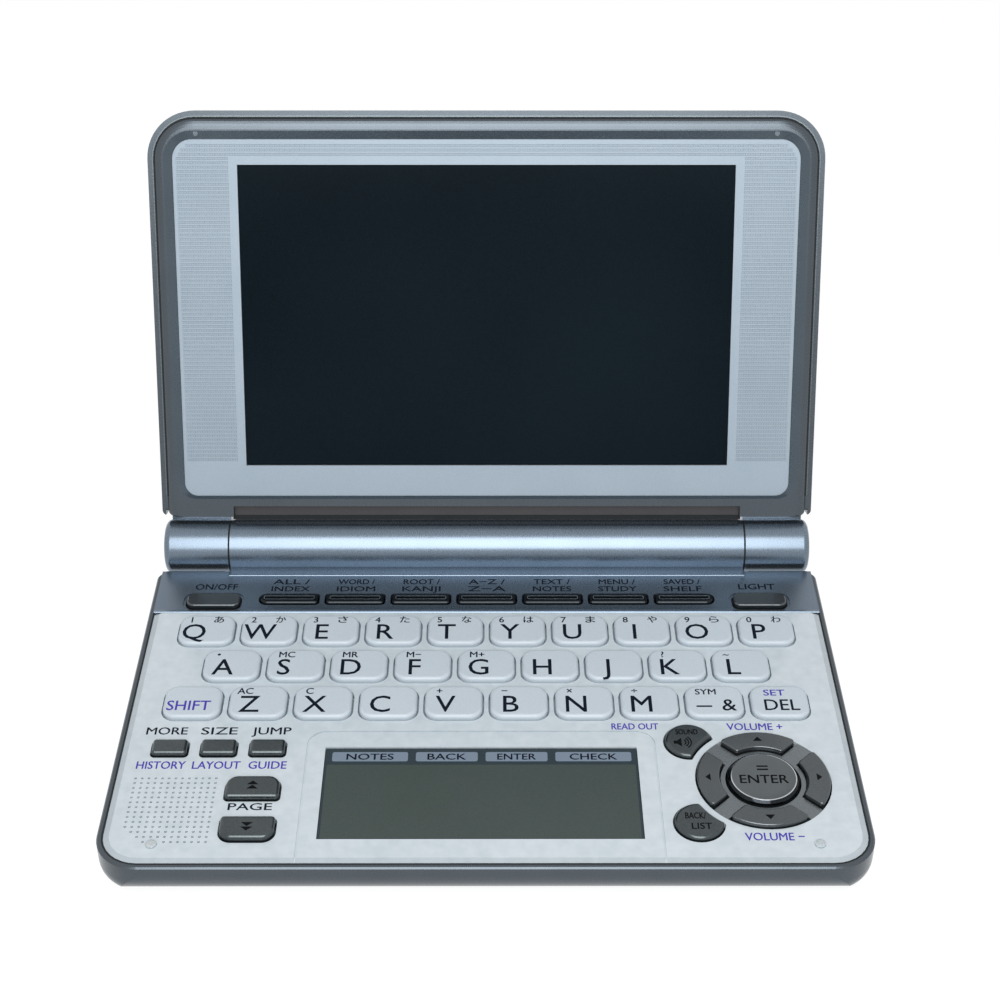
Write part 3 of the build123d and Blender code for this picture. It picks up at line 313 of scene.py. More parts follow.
def rounded(x0, x1, y0, y1, radius, steps=6):
    """Corners of a rounded rectangle, anticlockwise."""
    points = []
    corners = ((x1 - radius, y1 - radius, 0), (x0 + radius, y1 - radius, 90),
               (x0 + radius, y0 + radius, 180), (x1 - radius, y0 + radius, 270))
    for x, y, start in corners:
        for i in range(steps + 1):
            turn = math.radians(start + 90 * i / steps)
            points.append((x + radius * math.cos(turn), y + radius * math.sin(turn)))
    return points


def circle(x, y, radius, count=32):
    turns = [2 * math.pi * i / count for i in range(count)]
    return [(x + radius * math.cos(t), y + radius * math.sin(t)) for t in turns]


def arc_band(x, y, inner, outer, start, end, steps=10):
    """A closed band between two radii, from one angle to another."""
    turns = [math.radians(start + (end - start) * i / steps) for i in range(steps + 1)]
    far = [(x + outer * math.cos(t), y + outer * math.sin(t)) for t in turns]
    near = [(x + inner * math.cos(t), y + inner * math.sin(t)) for t in reversed(turns)]
    return far + near


def triangle(x, y, half_base, height, turn):
    """A triangle centred on (x, y) that points up before it is turned by so many degrees."""
    a = math.radians(turn)
    corners = ((-half_base, -height / 2), (half_base, -height / 2), (0, height / 2))
    return [(x + px * math.cos(a) - py * math.sin(a), y + px * math.sin(a) + py * math.cos(a))
            for px, py in corners]


def words(text, x, y, z, height, width=None, ink=0, weight=0.04):
    """Lettering whose capitals are centred on (x, y), lying on level z."""
    foot = y - height / 2
    lift = z + PRINT_THICKNESS / 2
    return letter_mesh(text, height, width, weight), Matrix.Translation((x, foot, lift)), ink


def shapes(loops, z, ink=0):
    """Printed flat shapes lying on level z."""
    lift = z + PRINT_THICKNESS / 2
    return outline_mesh(loops, PRINT_THICKNESS), Matrix.Translation((0, 0, lift)), ink


def lathe(profile, segments):
    """A mesh turned about Z from (radius, height, material slot) rows; the slot is the band's below."""
    bm = bmesh.new()
    rings = []
    for radius, height, _ in profile:
        if radius < 1e-6:
            rings.append([bm.verts.new((0, 0, height))])
            continue
        turns = [2 * math.pi * i / segments for i in range(segments)]
        rings.append([bm.verts.new((radius * math.cos(t), radius * math.sin(t), height)) for t in turns])
    for (low, high), (_, _, index) in zip(zip(rings, rings[1:]), profile[1:]):
        for i in range(segments):
            j = (i + 1) % segments
            corners = [low[i % len(low)], low[j % len(low)], high[j % len(high)], high[i % len(high)]]
            face = bm.faces.new(list(dict.fromkeys(corners)))
            face.material_index = index
            face.smooth = True
    bmesh.ops.recalc_face_normals(bm, faces=bm.faces)
    mesh = bpy.data.meshes.new("lathe")
    bm.to_mesh(mesh)
    bm.free()
    return mesh


# ---- settings
def colour_setting(name, description, hex_colour):
    return FloatVectorProperty(name=name, description=description, subtype="COLOR", size=4,
                               min=0, max=1, default=linear(hex_colour))


def length_setting(name, description, millimetres):
    return FloatProperty(name=name, description=description, subtype="DISTANCE", unit="LENGTH",
                         default=millimetres * MM, min=0, precision=5)


class DictionaryFinishSettings(bpy.types.PropertyGroup):
    silver: colour_setting("Silver lacquer", "Lacquer of the barrel, knuckles and strip", "#67737F")
    steel: colour_setting("Steel lacquer", "Darker lacquer of the lid and the case", "#4A5157")
    deck: colour_setting("Deck", "Gloss white of the keyboard deck", "#BFCAD1")
    bezel: colour_setting("Bezel", "Pearl white round the screen", "#94A3AF")
    cap: colour_setting("Key caps", "White of the letter keys", "#BDC8D1")
    gunmetal: colour_setting("Gunmetal", "Metallised dark keys", "#3A4143")
    dark_chrome: colour_setting("Dark chrome", "The seven bars above the letters", "#23272A")
    ink: colour_setting("Dark ink", "Printed letters and signs", "#0E1622")
    violet: colour_setting("Violet ink", "Second functions", "#4A3FA0")


class DictionaryGridSettings(bpy.types.PropertyGroup):
    pitch_across: length_setting("Pitch across", "Pad to pad across the bezel", 0.55)
    pitch_up: length_setting("Pitch up", "Row to row up the bezel", 0.93)
    gap_across: length_setting("Gap across", "Free width between pads", 0.10)
    gap_up: length_setting("Gap up", "Free height between rows", 0.34)
    height: length_setting("Height", "Height of a pad above the bezel", 0.12)
    margin: length_setting("Margin", "Smooth edge round the bezel", 0.95)
    screen_margin: length_setting("Screen margin", "Smooth border round the screen", 1.9)


class DictionaryScreenSettings(bpy.types.PropertyGroup):
    glass: colour_setting("Screen", "Unlit display behind its window", "#040C11")
    film: colour_setting("Film", "Grey green film of the handwriting window", "#35413D")
    band: colour_setting("Band", "Dark band along the top of the handwriting window", "#1F2E35")
    field: colour_setting("Fields", "Pale fields in the band", "#76859A")
    window_edge: length_setting("Window edge", "Bevel of the screen window", 0.15)


class DictionaryMarkSettings(bpy.types.PropertyGroup):
    letter: length_setting("Letters", "Height of the key letters", 4.95)
    small: length_setting("Small marks", "Height of the digits and signs above the letters", 1.8)
    letter_left: length_setting("Letter shift left", "Letters stand left of the key's middle", 1.7)
    letter_down: length_setting("Letter shift down", "Letters stand below the key's middle", 1.05)
    small_up: length_setting("Small mark shift up", "Small marks stand above the middle", 3.0)


class DictionaryStageSettings(bpy.types.PropertyGroup):
    floor: colour_setting("Floor", "Pale studio floor", "#F2F4F5")
    lens: FloatProperty(name="Lens", description="Focal length of the camera", default=67.56,
                        min=10, max=300, unit="CAMERA")
    ambient: FloatProperty(name="Ambient", description="Strength of the world on the object",
                           default=0.38, min=0, max=2)
    softbox: FloatProperty(name="Softbox", description="Power of the overhead softbox",
                           default=3.5, min=0, max=20, unit="POWER")
    segments: IntProperty(name="Segments", description="Faces round turned pieces", default=96,
                          min=24, max=256)


SETTINGS = {
    "dictionary_finish": DictionaryFinishSettings,
    "dictionary_grid": DictionaryGridSettings,
    "dictionary_screen": DictionaryScreenSettings,
    "dictionary_marks": DictionaryMarkSettings,
    "dictionary_stage": DictionaryStageSettings,
}


# ---- finishes
class FinishShells(bpy.types.Operator):
    """Lacquer the case, lid and barrel, and finish the white deck and bezel"""
    bl_idname = "dictionary.finish_shells"
    bl_label = "Finish shells"

    def execute(self, context):
        finish = context.scene.dictionary_finish
        # Moulded ABS sprayed with aluminium-flake lacquer: a soft metal gleam that falls off at
        # the edges. Flakes of 0.03 mm are drawn at 0.14 mm, so that the sparkle just shows.
        lacquer = {}
        # The third lacquer copies the steel in its own tone for the frame's inner slope: painted shade.
        colours = {"silver_lacquered_abs": finish.silver, "steel_lacquered_abs": finish.steel,
                   "painted_shade_steel_lacquer": linear("#4B555D")}
        for name, colour in colours.items():
            flake = tuple(min(1.0, c * 1.35) for c in colour[:3]) + (1.0,)
            lacquer[name] = shaded(name, colour, flake, 9.0, 0.14, 0.0015, 0.27, 0.035,
                                   {"Metallic": 0.9, "Coat Weight": 0.12, "Coat Roughness": 0.2},
                                   0.7)
        silver, steel, shade = lacquer.values()
        wear(silver, "rear_top_cover", "battery_cover")
        wear(steel, "base_lower_case", "lid_back_cover", "lid_front_frame")
        # The knuckles carry the barrel's lacquer, and the inner slope of the frame takes its own copy of
        # the steel lacquer: painted shade.
        flat = LID_PLACE.inverted()
        wear_part("lid_front_frame", silver,
                  lambda c, n: math.hypot(*(flat @ c).yz) < KNUCKLE_REACH)
        wear_part("lid_front_frame", shade, lambda c, n: self.on_slope(flat @ c, flat.to_3x3() @ n))
        # High-gloss moulded ABS: a hard, slightly wavy skin that mirrors the light softly.
        wear(shaded("gloss_white_abs", finish.deck, "#CCD6DC", 28.0, 2.2, 0.006, 0.16, 0.03,
                    {"IOR": 1.53, "Coat Weight": 0.2, "Coat Roughness": 0.08}), "keyboard_deck")
        # A greyer copy of the gloss white on the soft shoulder round the deck: painted shade.
        shoulder = shaded("painted_shade_deck_shoulder", "#A9B4BB", "#B4BEC4", 28.0, 2.2, 0.006, 0.2,
                          0.03, {"IOR": 1.53, "Coat Weight": 0.2})
        wear_part("keyboard_deck", shoulder, self.on_shoulder)
        # Pearl lacquer on ABS: pale blue white with a faint silky sheen.
        wear(shaded("pearl_lacquered_abs", finish.bezel, "#9FADB9", 14.0, 0.25, 0.003, 0.38, 0.05,
                    {"IOR": 1.5, "Metallic": 0.12, "Sheen Weight": 0.1}), "display_bezel")
        return {"FINISHED"}

    def on_slope(self, centre, normal):
        """On the slanted inner edge of the frame: in front of the bezel and turned inwards."""
        inwards = normal.x * centre.x + normal.y * (centre.y - (BEZEL_LOW + BEZEL_HIGH) / 2) < 0
        raised = centre.y > SLOPE_START and centre.z > 0.05
        return raised and inwards and 0.3 < normal.z / normal.length < 0.97

    def on_shoulder(self, centre, normal):
        """On the soft shoulder round the deck: just under its top, turned up and outwards."""
        low = centre.z / MM - DECK_TOP
        return -0.44 < low < -0.01 and 0.8 < normal.z < 0.995


class FinishKeys(bpy.types.Operator):
    """Finish the key caps, the dark keys, the bars and the navigation plate"""
    bl_idname = "dictionary.finish_keys"
    bl_label = "Finish keys"

    def execute(self, context):
        finish = context.scene.dictionary_finish
        names = sorted(frame["nodes"])
        dark = [n for n in names if n in DARK_KEYS]
        letters = [n for n in names if n.startswith("key_") and n not in DARK_KEYS
                   and n not in STRIP_KEYS and n != "key_membrane"]
        # Moulded ABS with a fine spark-eroded texture: satin, no sharp reflections.
        satin = shaded("satin_white_abs", finish.cap, "#C6D0D8", 16.0, 0.3, 0.008, 0.42, 0.06,
                       {"IOR": 1.53})
        wear(satin, *letters)
        # ABS metallised in a vacuum under a smoke-grey clear lacquer: dark, glossy metal.
        wear(shaded("smoked_metallised_abs", finish.gunmetal, "#4B5254", 7.0, 0.35, 0.0012, 0.22,
                    0.03, {"Metallic": 0.85, "Coat Weight": 0.3, "Coat Roughness": 0.1}), *dark)
        # The same plating under a thinner smoke: a shade lighter.
        wear(shaded("lightly_smoked_metallised_abs", "#4B5053", "#565B5E", 7.0, 0.35, 0.0012, 0.22,
                    0.03, {"Metallic": 0.85, "Coat Weight": 0.3, "Coat Roughness": 0.1}),
             *STRIP_KEYS, "up_down_rocker", "left_right_rocker")
        # Black chrome plating: a near mirror that darkens what it shows.
        chrome = shaded("black_chrome_plating", finish.dark_chrome, "#2E3235", 6.0, 0.4, 0.001,
                        0.12, 0.03, {"Metallic": 1.0})
        wear(chrome, "dictionary_key_comb")
        # Grey lacquered ABS, satin: the fixed plate between the arrow keys.
        wear(shaded("satin_grey_lacquer", "#6A7073", "#767C7F", 6.0, 0.25, 0.0015, 0.3, 0.04,
                    {"Metallic": 0.75}), "navigation_plate")
        # Satin smoke lacquer, for the dished top of the enter key.
        shaded("satin_smoke_lacquer", "#5A5F61", "#63686A", 6.0, 0.25, 0.0015, 0.32, 0.04,
               {"Metallic": 0.7})
        # Bright chrome plating, for the fine ring on the rim of the enter key.
        shaded("bright_chrome_plating", "#B9BDC0", "#C6C9CC", 5.0, 0.4, 0.001, 0.07, 0.02,
               {"Metallic": 1.0})
        return {"FINISHED"}


class FinishInside(bpy.types.Operator):
    """Finish the parts inside and underneath: board, membrane, cells, speaker, screws and feet"""
    bl_idname = "dictionary.finish_inside"
    bl_label = "Finish inside"

    def execute(self, context):
        # Stainless steel, turned: fine rings round the pin.
        wear(shaded("turned_stainless_steel", "#B4B5B6", "#C4C5C6", 2.0, 0.12, 0.002, 0.28, 0.06,
                    {"Metallic": 1.0}), "hinge_pins", "screws")
        # Epoxy glass board under green solder resist: glossy, with the weave just showing.
        wear(shaded("green_epoxy_glass_board", "#14502F", "#1B6A3E", 3.0, 0.6, 0.010, 0.34, 0.06,
                    {"IOR": 1.55}), "circuit_board")
        # Silicone rubber, moulded: dull and even.
        wear(shaded("moulded_silicone_rubber", "#3B3C3E", "#48494B", 8.0, 0.3, 0.010, 0.68, 0.06,
                    {"IOR": 1.41}), "key_membrane", "rubber_feet")
        # Steel basket and paper cone of the speaker, both black.
        wear(shaded("black_paper_and_steel", "#17181A", "#232427", 4.0, 0.25, 0.020, 0.62, 0.08,
                    {"IOR": 1.45}), "speaker")
        # Stylus: the same smoked lacquer as the dark keys, a little duller from handling.
        wear(shaded("smoked_lacquered_abs", "#4C5053", "#5A5E61", 6.0, 0.3, 0.004, 0.33, 0.07,
                    {"Metallic": 0.7}), "stylus")
        wear(self.cell_sleeve(), "batteries")
        return {"FINISHED"}

    def cell_sleeve(self):
        """Shrink sleeve of a cell: a dark band, a copper band, and bare steel at both ends."""
        material = shaded("printed_cell_sleeve", "#202327", "#2A2E33", 5.0, 0.4, 0.002, 0.26, 0.05,
                          {"Metallic": 0.4})
        tree = material.node_tree
        shader = next(node for node in tree.nodes if node.type == "BSDF_PRINCIPLED")
        place = add_node(tree, "ShaderNodeTexCoord").outputs["Object"]
        split = add_node(tree, "ShaderNodeSeparateXYZ", links={"Vector": place})
        side = add_node(tree, "ShaderNodeMath", {"operation": "ABSOLUTE"}, links={0: split.outputs["X"]})
        ramp = add_node(tree, "ShaderNodeValToRGB", links={"Fac": add_node(
            tree, "ShaderNodeMapRange", inputs={"From Min": 0.0, "From Max": 46 * MM},
            links={"Value": side.outputs[0]}).outputs[0]})
        ramp.color_ramp.interpolation = "CONSTANT"
        stops = ((0.0, "#B9BABB"), (0.03, "#24272B"), (0.62, "#A8683C"), (0.93, "#B9BABB"))
        for position, colour in stops[1:]:
            ramp.color_ramp.elements.new(position)
        for element, (position, colour) in zip(ramp.color_ramp.elements, stops):
            element.position = position
            element.color = linear(colour)
        while len(ramp.color_ramp.elements) > len(stops):
            ramp.color_ramp.elements.remove(ramp.color_ramp.elements[-1])
        tree.links.new(ramp.outputs["Color"], shader.inputs["Base Color"])
        return material


class MixInks(bpy.types.Operator):
    """Make the dark, violet, pale and black printing inks"""
    bl_idname = "dictionary.mix_inks"
    bl_label = "Mix inks"

    def execute(self, context):
        finish = context.scene.dictionary_finish
        # Pad-printed two-part ink: a thin satin layer, a little uneven where it is thick.
        inks = {
            "dark_pad_printing_ink": finish.ink,
            "violet_pad_printing_ink": finish.violet,
            "black_pad_printing_ink": linear("#0B0C0E"),
            "pale_line_ink": linear("#9FB0BE"),
        }
        for name, colour in inks.items():
            second = tuple(min(1.0, c * 1.25 + 0.004) for c in colour[:3]) + (1.0,)
            shaded(name, colour, second, 1.5, 0.2, 0.001, 0.45, 0.05,
                   {"IOR": 1.5, "Specular IOR Level": 0.03})
        return {"FINISHED"}


# ---- key marks
DARK_KEYS = ("key_more_search", "key_text_size", "key_jump", "key_page_up", "key_page_down",
             "key_audio", "key_list", "key_enter")
STRIP_KEYS = ("key_power", "key_backlight")
# small mark above each letter, and how far left of the key's middle it stands
SMALL_MARKS = {
    **{key: (digit, -3.5) for key, digit in zip("qwertyuiop", "1234567890")},
    "a": ("•", -3.0), "s": ("MC", -2.0), "d": ("MR", -2.0), "f": ("M−", -2.0), "g": ("M+", -2.0),
    "k": ("?", -3.0), "l": ("~", -3.0), "z": ("AC", -2.9), "x": ("C", -3.0), "v": ("+", -3.0),
    "b": ("−", -3.0), "n": ("×", -3.0), "m": ("÷", -3.0),
}
KANA_MARKS = dict(zip("qwertyuiop", "あかさたなはまやらわ"))
# letters that stand further left than the others
LETTER_SHIFTS = {"q": -0.9, "s": -0.7, "w": -0.2, "e": -0.2, "t": -0.2}


class MarkLetterKeys(bpy.types.Operator):
    """Print the letters, digits and signs on the white keys"""
    bl_idname = "dictionary.mark_letter_keys"
    bl_label = "Mark letter keys"

    def execute(self, context):
        marks = context.scene.dictionary_marks
        inks = finishes("dark_pad_printing_ink", "violet_pad_printing_ink")
        for letter in "qwertyuiopasdfghjklzxcvbnm":
            low, high = box_mm("key_" + letter)
            x, y, z = (low.x + high.x) / 2, (low.y + high.y) / 2, high.z
            across = x - marks.letter_left / MM + LETTER_SHIFTS.get(letter, 0)
            parts = [words(letter.upper(), across, y - marks.letter_down / MM, z, marks.letter / MM)]
            if letter in SMALL_MARKS:
                text, shift = SMALL_MARKS[letter]
                parts.append(words(text, x + shift, y + marks.small_up / MM, z, marks.small / MM))
            if letter in KANA_MARKS:
                parts.append(words(KANA_MARKS[letter], x + 2.4, y + marks.small_up / MM, z,
                                   1.75, 2.1))
            piece("print_key_" + letter, join(parts), "key_" + letter, "key_white", *inks)
        for name, parts in self.word_keys().items():
            piece("print_" + name, join(parts), name, "key_white", *inks)
        return {"FINISHED"}

    def word_keys(self):
        """The keys that carry words: shift, symbol and delete."""
        shift = centre_mm("key_shift")
        sign = centre_mm("key_symbol")
        wipe = centre_mm("key_delete")
        z = box_mm("key_shift")[1].z
        return {
            "key_shift": [words("SHIFT", shift.x - 0.65, shift.y - 1.5, z, 2.9, 9.0, 1)],
            "key_symbol": [words("−", sign.x - 2.3, sign.y - 1.9, z, 3.5, 3.2),
                           words("&", sign.x + 2.9, sign.y - 1.4, z, 3.5, 2.9),
                           words("SYM", sign.x - 1.7, sign.y + 2.7, z, 1.7, 4.3)],
            "key_delete": [words("DEL", wipe.x + 0.3, wipe.y - 1.4, z, 3.3, 7.2),
                           words("SET", wipe.x - 0.95, wipe.y + 2.4, z, 1.8, 4.4, 1)],
        }


class MarkDarkKeys(bpy.types.Operator):
    """Print the arrows, signs and words on the dark keys"""
    bl_idname = "dictionary.mark_dark_keys"
    bl_label = "Mark dark keys"

    def execute(self, context):
        ink = material_named("black_pad_printing_ink")
        for name, parts in self.marks().items():
            piece("print_" + name, join(parts), name, "gunmetal", ink)
        return {"FINISHED"}

    def marks(self):
        up, down = centre_mm("key_page_up"), centre_mm("key_page_down")
        z = box_mm("key_page_up")[1].z
        lens = box_mm("key_audio")[1].z
        sound = Vector((40.8, AXIS_Y - 62.5))
        back = Vector((41.4, AXIS_Y - 87.8))
        speaker = [(-1.5, -0.45), (-0.8, -0.45), (0.1, -1.25), (0.1, 1.25), (-0.8, 0.45), (-1.5, 0.45)]
        speaker = [(sound.x - 1.2 + px, sound.y - 3.0 + py) for px, py in speaker]
        waves = [arc_band(sound.x - 1.1, sound.y - 3.0, r, r + 0.26, -52, 52) for r in (0.75, 1.3, 1.85)]
        ring = box_mm("up_down_rocker")[1].z
        side = box_mm("left_right_rocker")[1].z
        return {
            "key_page_up": [shapes([triangle(up.x, up.y + s, 1.15, 1.05, 0)], z) for s in (-0.45, 0.75)],
            "key_page_down": [shapes([triangle(down.x, down.y + s, 1.15, 1.05, 180)], z)
                              for s in (-0.75, 0.45)],
            "key_audio": [words("SOUND", sound.x + 0.15, sound.y + 0.1, lens, 1.5, 4.5),
                          shapes([speaker] + waves, lens)],
            "key_list": [words("BACK/", back.x - 0.7, back.y + 1.5, lens, 1.6, 4.0),
                         words("LIST", back.x + 0.3, back.y - 1.3, lens, 1.6, 3.9)],
            "up_down_rocker": [shapes([triangle(NAV.x, NAV.y + 11.1 * s, 0.95, 1.25, 90 - 90 * s)], ring)
                               for s in (1, -1)],
            "left_right_rocker": [shapes([triangle(NAV.x + 11.1 * s, NAV.y, 1.0, 1.05, -90 * s)], side)
                                  for s in (1, -1)],
        }


class DressEnterKey(bpy.types.Operator):
    """Turn the enter key: a satin dished top, a bright chrome rim and a dark skirt"""
    bl_idname = "dictionary.dress_enter_key"
    bl_label = "Dress enter key"

    def execute(self, context):
        low, high = box_mm("key_enter")
        top = high.z
        flange_r = (high.x - low.x) / 2
        cap_r = flange_r - 0.5
        profile = [
            (0.0, low.z, 2), (flange_r, low.z, 2), (flange_r, low.z + 0.8, 2), (cap_r, low.z + 0.8, 2),
            (cap_r, top - 0.95, 2), (cap_r, top - 0.62, 3), (cap_r - 0.12, top - 0.42, 3),
            (cap_r - 0.62, top - 0.06, 3), (cap_r - 0.7, top - 0.02, 1), (cap_r - 0.82, top, 1),
            (cap_r - 0.95, top - 0.01, 0), (cap_r - 1.1, top - 0.04, 0), (4.5, top - 0.05, 0),
            (2.0, top - 0.06, 0), (0.0, top - 0.06, 0),
        ]
        mesh = lathe(profile, context.scene.dictionary_stage.segments)
        mesh.transform(IN_MM @ Matrix.Translation((NAV.x, NAV.y, 0)))
        key = piece("enter_key_cap", mesh, "key_enter", "gunmetal",
                    *finishes("satin_smoke_lacquer", "bright_chrome_plating",
                              "smoked_metallised_abs", "black_chrome_plating"))
        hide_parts("key_enter")
        face = top - 0.06
        bars = [rounded(NAV.x - 1.12, NAV.x + 1.12, NAV.y + h - 0.2, NAV.y + h + 0.2, 0.05, 2)
                for h in (2.15, 3.05)]
        parts = [shapes([bar], face) for bar in bars]
        parts.append(words("ENTER", NAV.x, NAV.y - 0.6, face, 2.3, 9.6))
        piece("print_key_enter", join(parts), "key_enter", "gunmetal",
              material_named("black_pad_printing_ink"))
        return {"FINISHED"}


# ---- deck and strip
class PrintDeck(bpy.types.Operator):
    """Print the words beside the dark keys and above the bars"""
    bl_idname = "dictionary.print_deck"
    bl_label = "Print deck"

    def execute(self, context):
        inks = finishes("dark_pad_printing_ink", "violet_pad_printing_ink")
        deck = [
            ("MORE", -65.45, -61.1, 2.1, 8.4, 0), ("SIZE", -54.7, -61.1, 2.1, 7.4, 0),
            ("JUMP", -44.0, -61.1, 2.1, 8.0, 0), ("HISTORY", -65.3, -71.2, 2.1, 9.8, 1),
            ("LAYOUT", -54.2, -71.2, 2.1, 9.6, 1), ("GUIDE", -43.9, -71.2, 2.1, 7.6, 1),
            ("PAGE", -46.2, -82.94, 1.85, 8.6, 0), ("READ OUT", 30.6, -59.8, 1.8, 9.6, 1),
            ("VOLUME +", 55.2, -59.9, 2.0, 11.4, 1), ("VOLUME −", 55.6, -91.1, 2.0, 11.4, 1),
        ]
        parts = [words(text, x, AXIS_Y + y, DECK_TOP, height, width, ink)
                 for text, x, y, height, width, ink in deck]
        piece("print_deck", join(parts), "base", "deck_white", *inks)
        bars = (("ALL /", "INDEX"), ("WORD /", "IDIOM"), ("ROOT /", "KANJI"), ("A−Z /", "Z−A"),
                ("TEXT /", "NOTES"), ("MENU /", "STUDY"), ("SAVED /", "SHELF"))
        parts = [words("ON/OFF", -61.0, AXIS_Y - 13.14, DECK_TOP, 1.95, 9.5),
                 words("LIGHT", 61.0, AXIS_Y - 13.1, DECK_TOP, 1.95, 8.2)]
        for i, (upper, lower) in enumerate(bars):
            x = (i - 3) * BAR_PITCH
            parts.append(words(upper, x, AXIS_Y - 11.25, DECK_TOP, 1.75, 8.2))
            parts.append(words(lower, x, AXIS_Y - 13.85, DECK_TOP, 1.75, 8.6))
        piece("print_strip", join(parts), "base", "silver_paint", inks[0])
        return {"FINISHED"}


# ---- lid
PAD_TOP = 0.72    # share of a bezel pad that its flat top takes


class LayBezelGrid(bpy.types.Operator):
    """Lay the fine grid of raised pads on the bezel round the screen"""
    bl_idname = "dictionary.lay_bezel_grid"
    bl_label = "Lay bezel grid"

    def execute(self, context):
        grid = context.scene.dictionary_grid
        pitch_x, pitch_y = grid.pitch_across / MM, grid.pitch_up / MM
        half_w = (pitch_x - grid.gap_across / MM) / 2
        half_h = (pitch_y - grid.gap_up / MM) / 2
        edge, clear = grid.margin / MM, grid.screen_margin / MM
        height = grid.height / MM
        columns = int((BEZEL_HALF - edge) / pitch_x)
        rows = int((BEZEL_HIGH - edge - SCREEN_LOW) / pitch_y)
        verts, faces = [], []
        for row in range(rows):
            y = BEZEL_HIGH - edge - pitch_y * (row + 0.5)
            for column in range(-columns, columns + 1):
                x = column * pitch_x
                if self.on_screen(x, y, clear) or not self.on_bezel(x, y, edge):
                    continue
                self.add_pad(verts, faces, x, y, half_w, half_h, height)
        mesh = bpy.data.meshes.new("bezel_grid")
        mesh.from_pydata(verts, [], faces)
        mesh.transform(LID_PLACE)
        # Five faces to a pad: its top in pearl, and four sides in a darker grey, painted shade in the
        # grooves.
        mesh.polygons.foreach_set("material_index", [0, 1, 1, 1, 1] * (len(faces) // 5))
        groove = shaded("painted_shade_pearl_groove", "#6C7A86", "#77848F", 14.0, 0.25, 0.003, 0.5, 0.05,
                        {"IOR": 1.5})
        piece("bezel_grid", mesh, "lid", "bezel_white", material_named("pearl_lacquered_abs"), groove)
        return {"FINISHED"}

    def on_screen(self, x, y, clear):
        return abs(x) < SCREEN_HALF + clear and y < SCREEN_HIGH + clear

    def on_bezel(self, x, y, edge):
        """Inside the bezel with its rounded top corners, less a smooth edge."""
        reach = BEZEL_CORNER - edge
        dx = abs(x) - (BEZEL_HALF - BEZEL_CORNER)
        dy = y - (BEZEL_HIGH - BEZEL_CORNER)
        if dx > 0 and dy > 0:
            return math.hypot(dx, dy) < reach
        return dx < reach and dy < reach

    def add_pad(self, verts, faces, x, y, half_w, half_h, height):
        """A low pad with slanted sides."""
        first = len(verts)
        for grow, z in ((1.0, -0.02), (PAD_TOP, height)):
            w, h = half_w * grow, half_h * grow
            verts.extend([(x - w, y - h, z), (x + w, y - h, z), (x + w, y + h, z), (x - w, y + h, z)])
        faces.append(tuple(first + i for i in (4, 5, 6, 7)))
        for i in range(4):
            j = (i + 1) % 4
            faces.append((first + i, first + j, first + 4 + j, first + 4 + i))


class FitScreen(bpy.types.Operator):
    """Fit the screen window over the display"""
    bl_idname = "dictionary.fit_screen"
    bl_label = "Fit screen"

    def execute(self, context):
        screen = context.scene.dictionary_screen
        # Hard-coated acrylic over an unlit display: near black, mirror smooth, anti-glare.
        glass = shaded("coated_acrylic_over_unlit_display", screen.glass, "#18242B", 75.0, 0.1,
                       0.0001, 0.14, 0.01, {"IOR": 1.49, "Specular IOR Level": 0.03})
        wear(glass, "main_display")
        gap = 0.06
        loop = rounded(-SCREEN_HALF + gap, SCREEN_HALF - gap, SCREEN_LOW + gap, SCREEN_HIGH - gap, 0.4)
        slab = outline_mesh([loop], 0.7, screen.window_edge / MM)
        mesh = join([(slab, Matrix.Translation((0, 0, -0.69)), 0)], LID_PLACE)
        piece("screen_window", mesh, "lid", "display_glass", glass)
        return {"FINISHED"}


class FitHandwritingWindow(bpy.types.Operator):
    """Lay the film, the printed band and its fields in the handwriting window"""
    bl_idname = "dictionary.fit_handwriting_window"
    bl_label = "Fit handwriting window"

    def execute(self, context):
        screen = context.scene.dictionary_screen
        # Resistive touch film over a reflective display: satin, grey green, faint pixel grid.
        film = shaded("touch_film_over_display", screen.film, "#3F4A48", 22.0, 0.3, 0.002, 0.34,
                      0.04, {"IOR": 1.5, "Specular IOR Level": 0.35})
        band = shaded("printed_film_band", screen.band, "#28363F", 9.0, 0.3, 0.002, 0.36, 0.04,
                      {"IOR": 1.5, "Specular IOR Level": 0.35})
        field = shaded("printed_film_field", screen.field, "#76848F", 6.0, 0.3, 0.002, 0.36, 0.04,
                       {"IOR": 1.5, "Specular IOR Level": 0.35})
        wear(film, "handwriting_display")
        z = box_mm("handwriting_display")[1].z
        x0, x1, y0, y1 = -32.5, 30.5, AXIS_Y - 91.6, AXIS_Y - 66.0
        line = AXIS_Y - 70.7
        frame_loops = [rounded(x0, x1, y0, y1, 0.3), rounded(x0 + 0.45, x1 - 0.45, y0 + 0.4, line, 0.3)]
        fields = ((-31.1, -15.8, "NOTES"), (-14.2, -1.7, "BACK"), (-0.1, 12.4, "ENTER"),
                  (14.0, 29.35, "CHECK"))
        parts = [shapes([frame_loops[0], frame_loops[1]], z, 0)]
        low, high = AXIS_Y - 69.8, AXIS_Y - 67.1
        for a, b, text in fields:
            parts.append(shapes([rounded(a, b, low, high, 0.45)], z + 0.022, 1))
            parts.append(words(text, (a + b) / 2, (low + high) / 2, z + 0.044, 1.7,
                               (b - a) * 0.62, 2))
        piece("handwriting_film", join(parts), "base", "lcd_grey", band, field,
              material_named("dark_pad_printing_ink"))
        return {"FINISHED"}


# ---- seams and small parts
def arch(half, low, high, radius, steps=8):
    """Path up the right side, over the rounded top and down the left side."""
    points = [(half, low)]
    for x, start in ((half - radius, 0), (radius - half, 90)):
        for i in range(steps + 1):
            turn = math.radians(start + 90 * i / steps)
            points.append((x + radius * math.cos(turn), high - radius + radius * math.sin(turn)))
    return points + [(-half, low)]


def arch_band(inset, width, half, low, high, radius):
    """Closed band of this width along an arch, this far inside it."""
    near = inset + width
    outer = arch(half - inset, low, high - inset, radius - inset)
    return outer + arch(half - near, low, high - near, radius - near)[::-1]


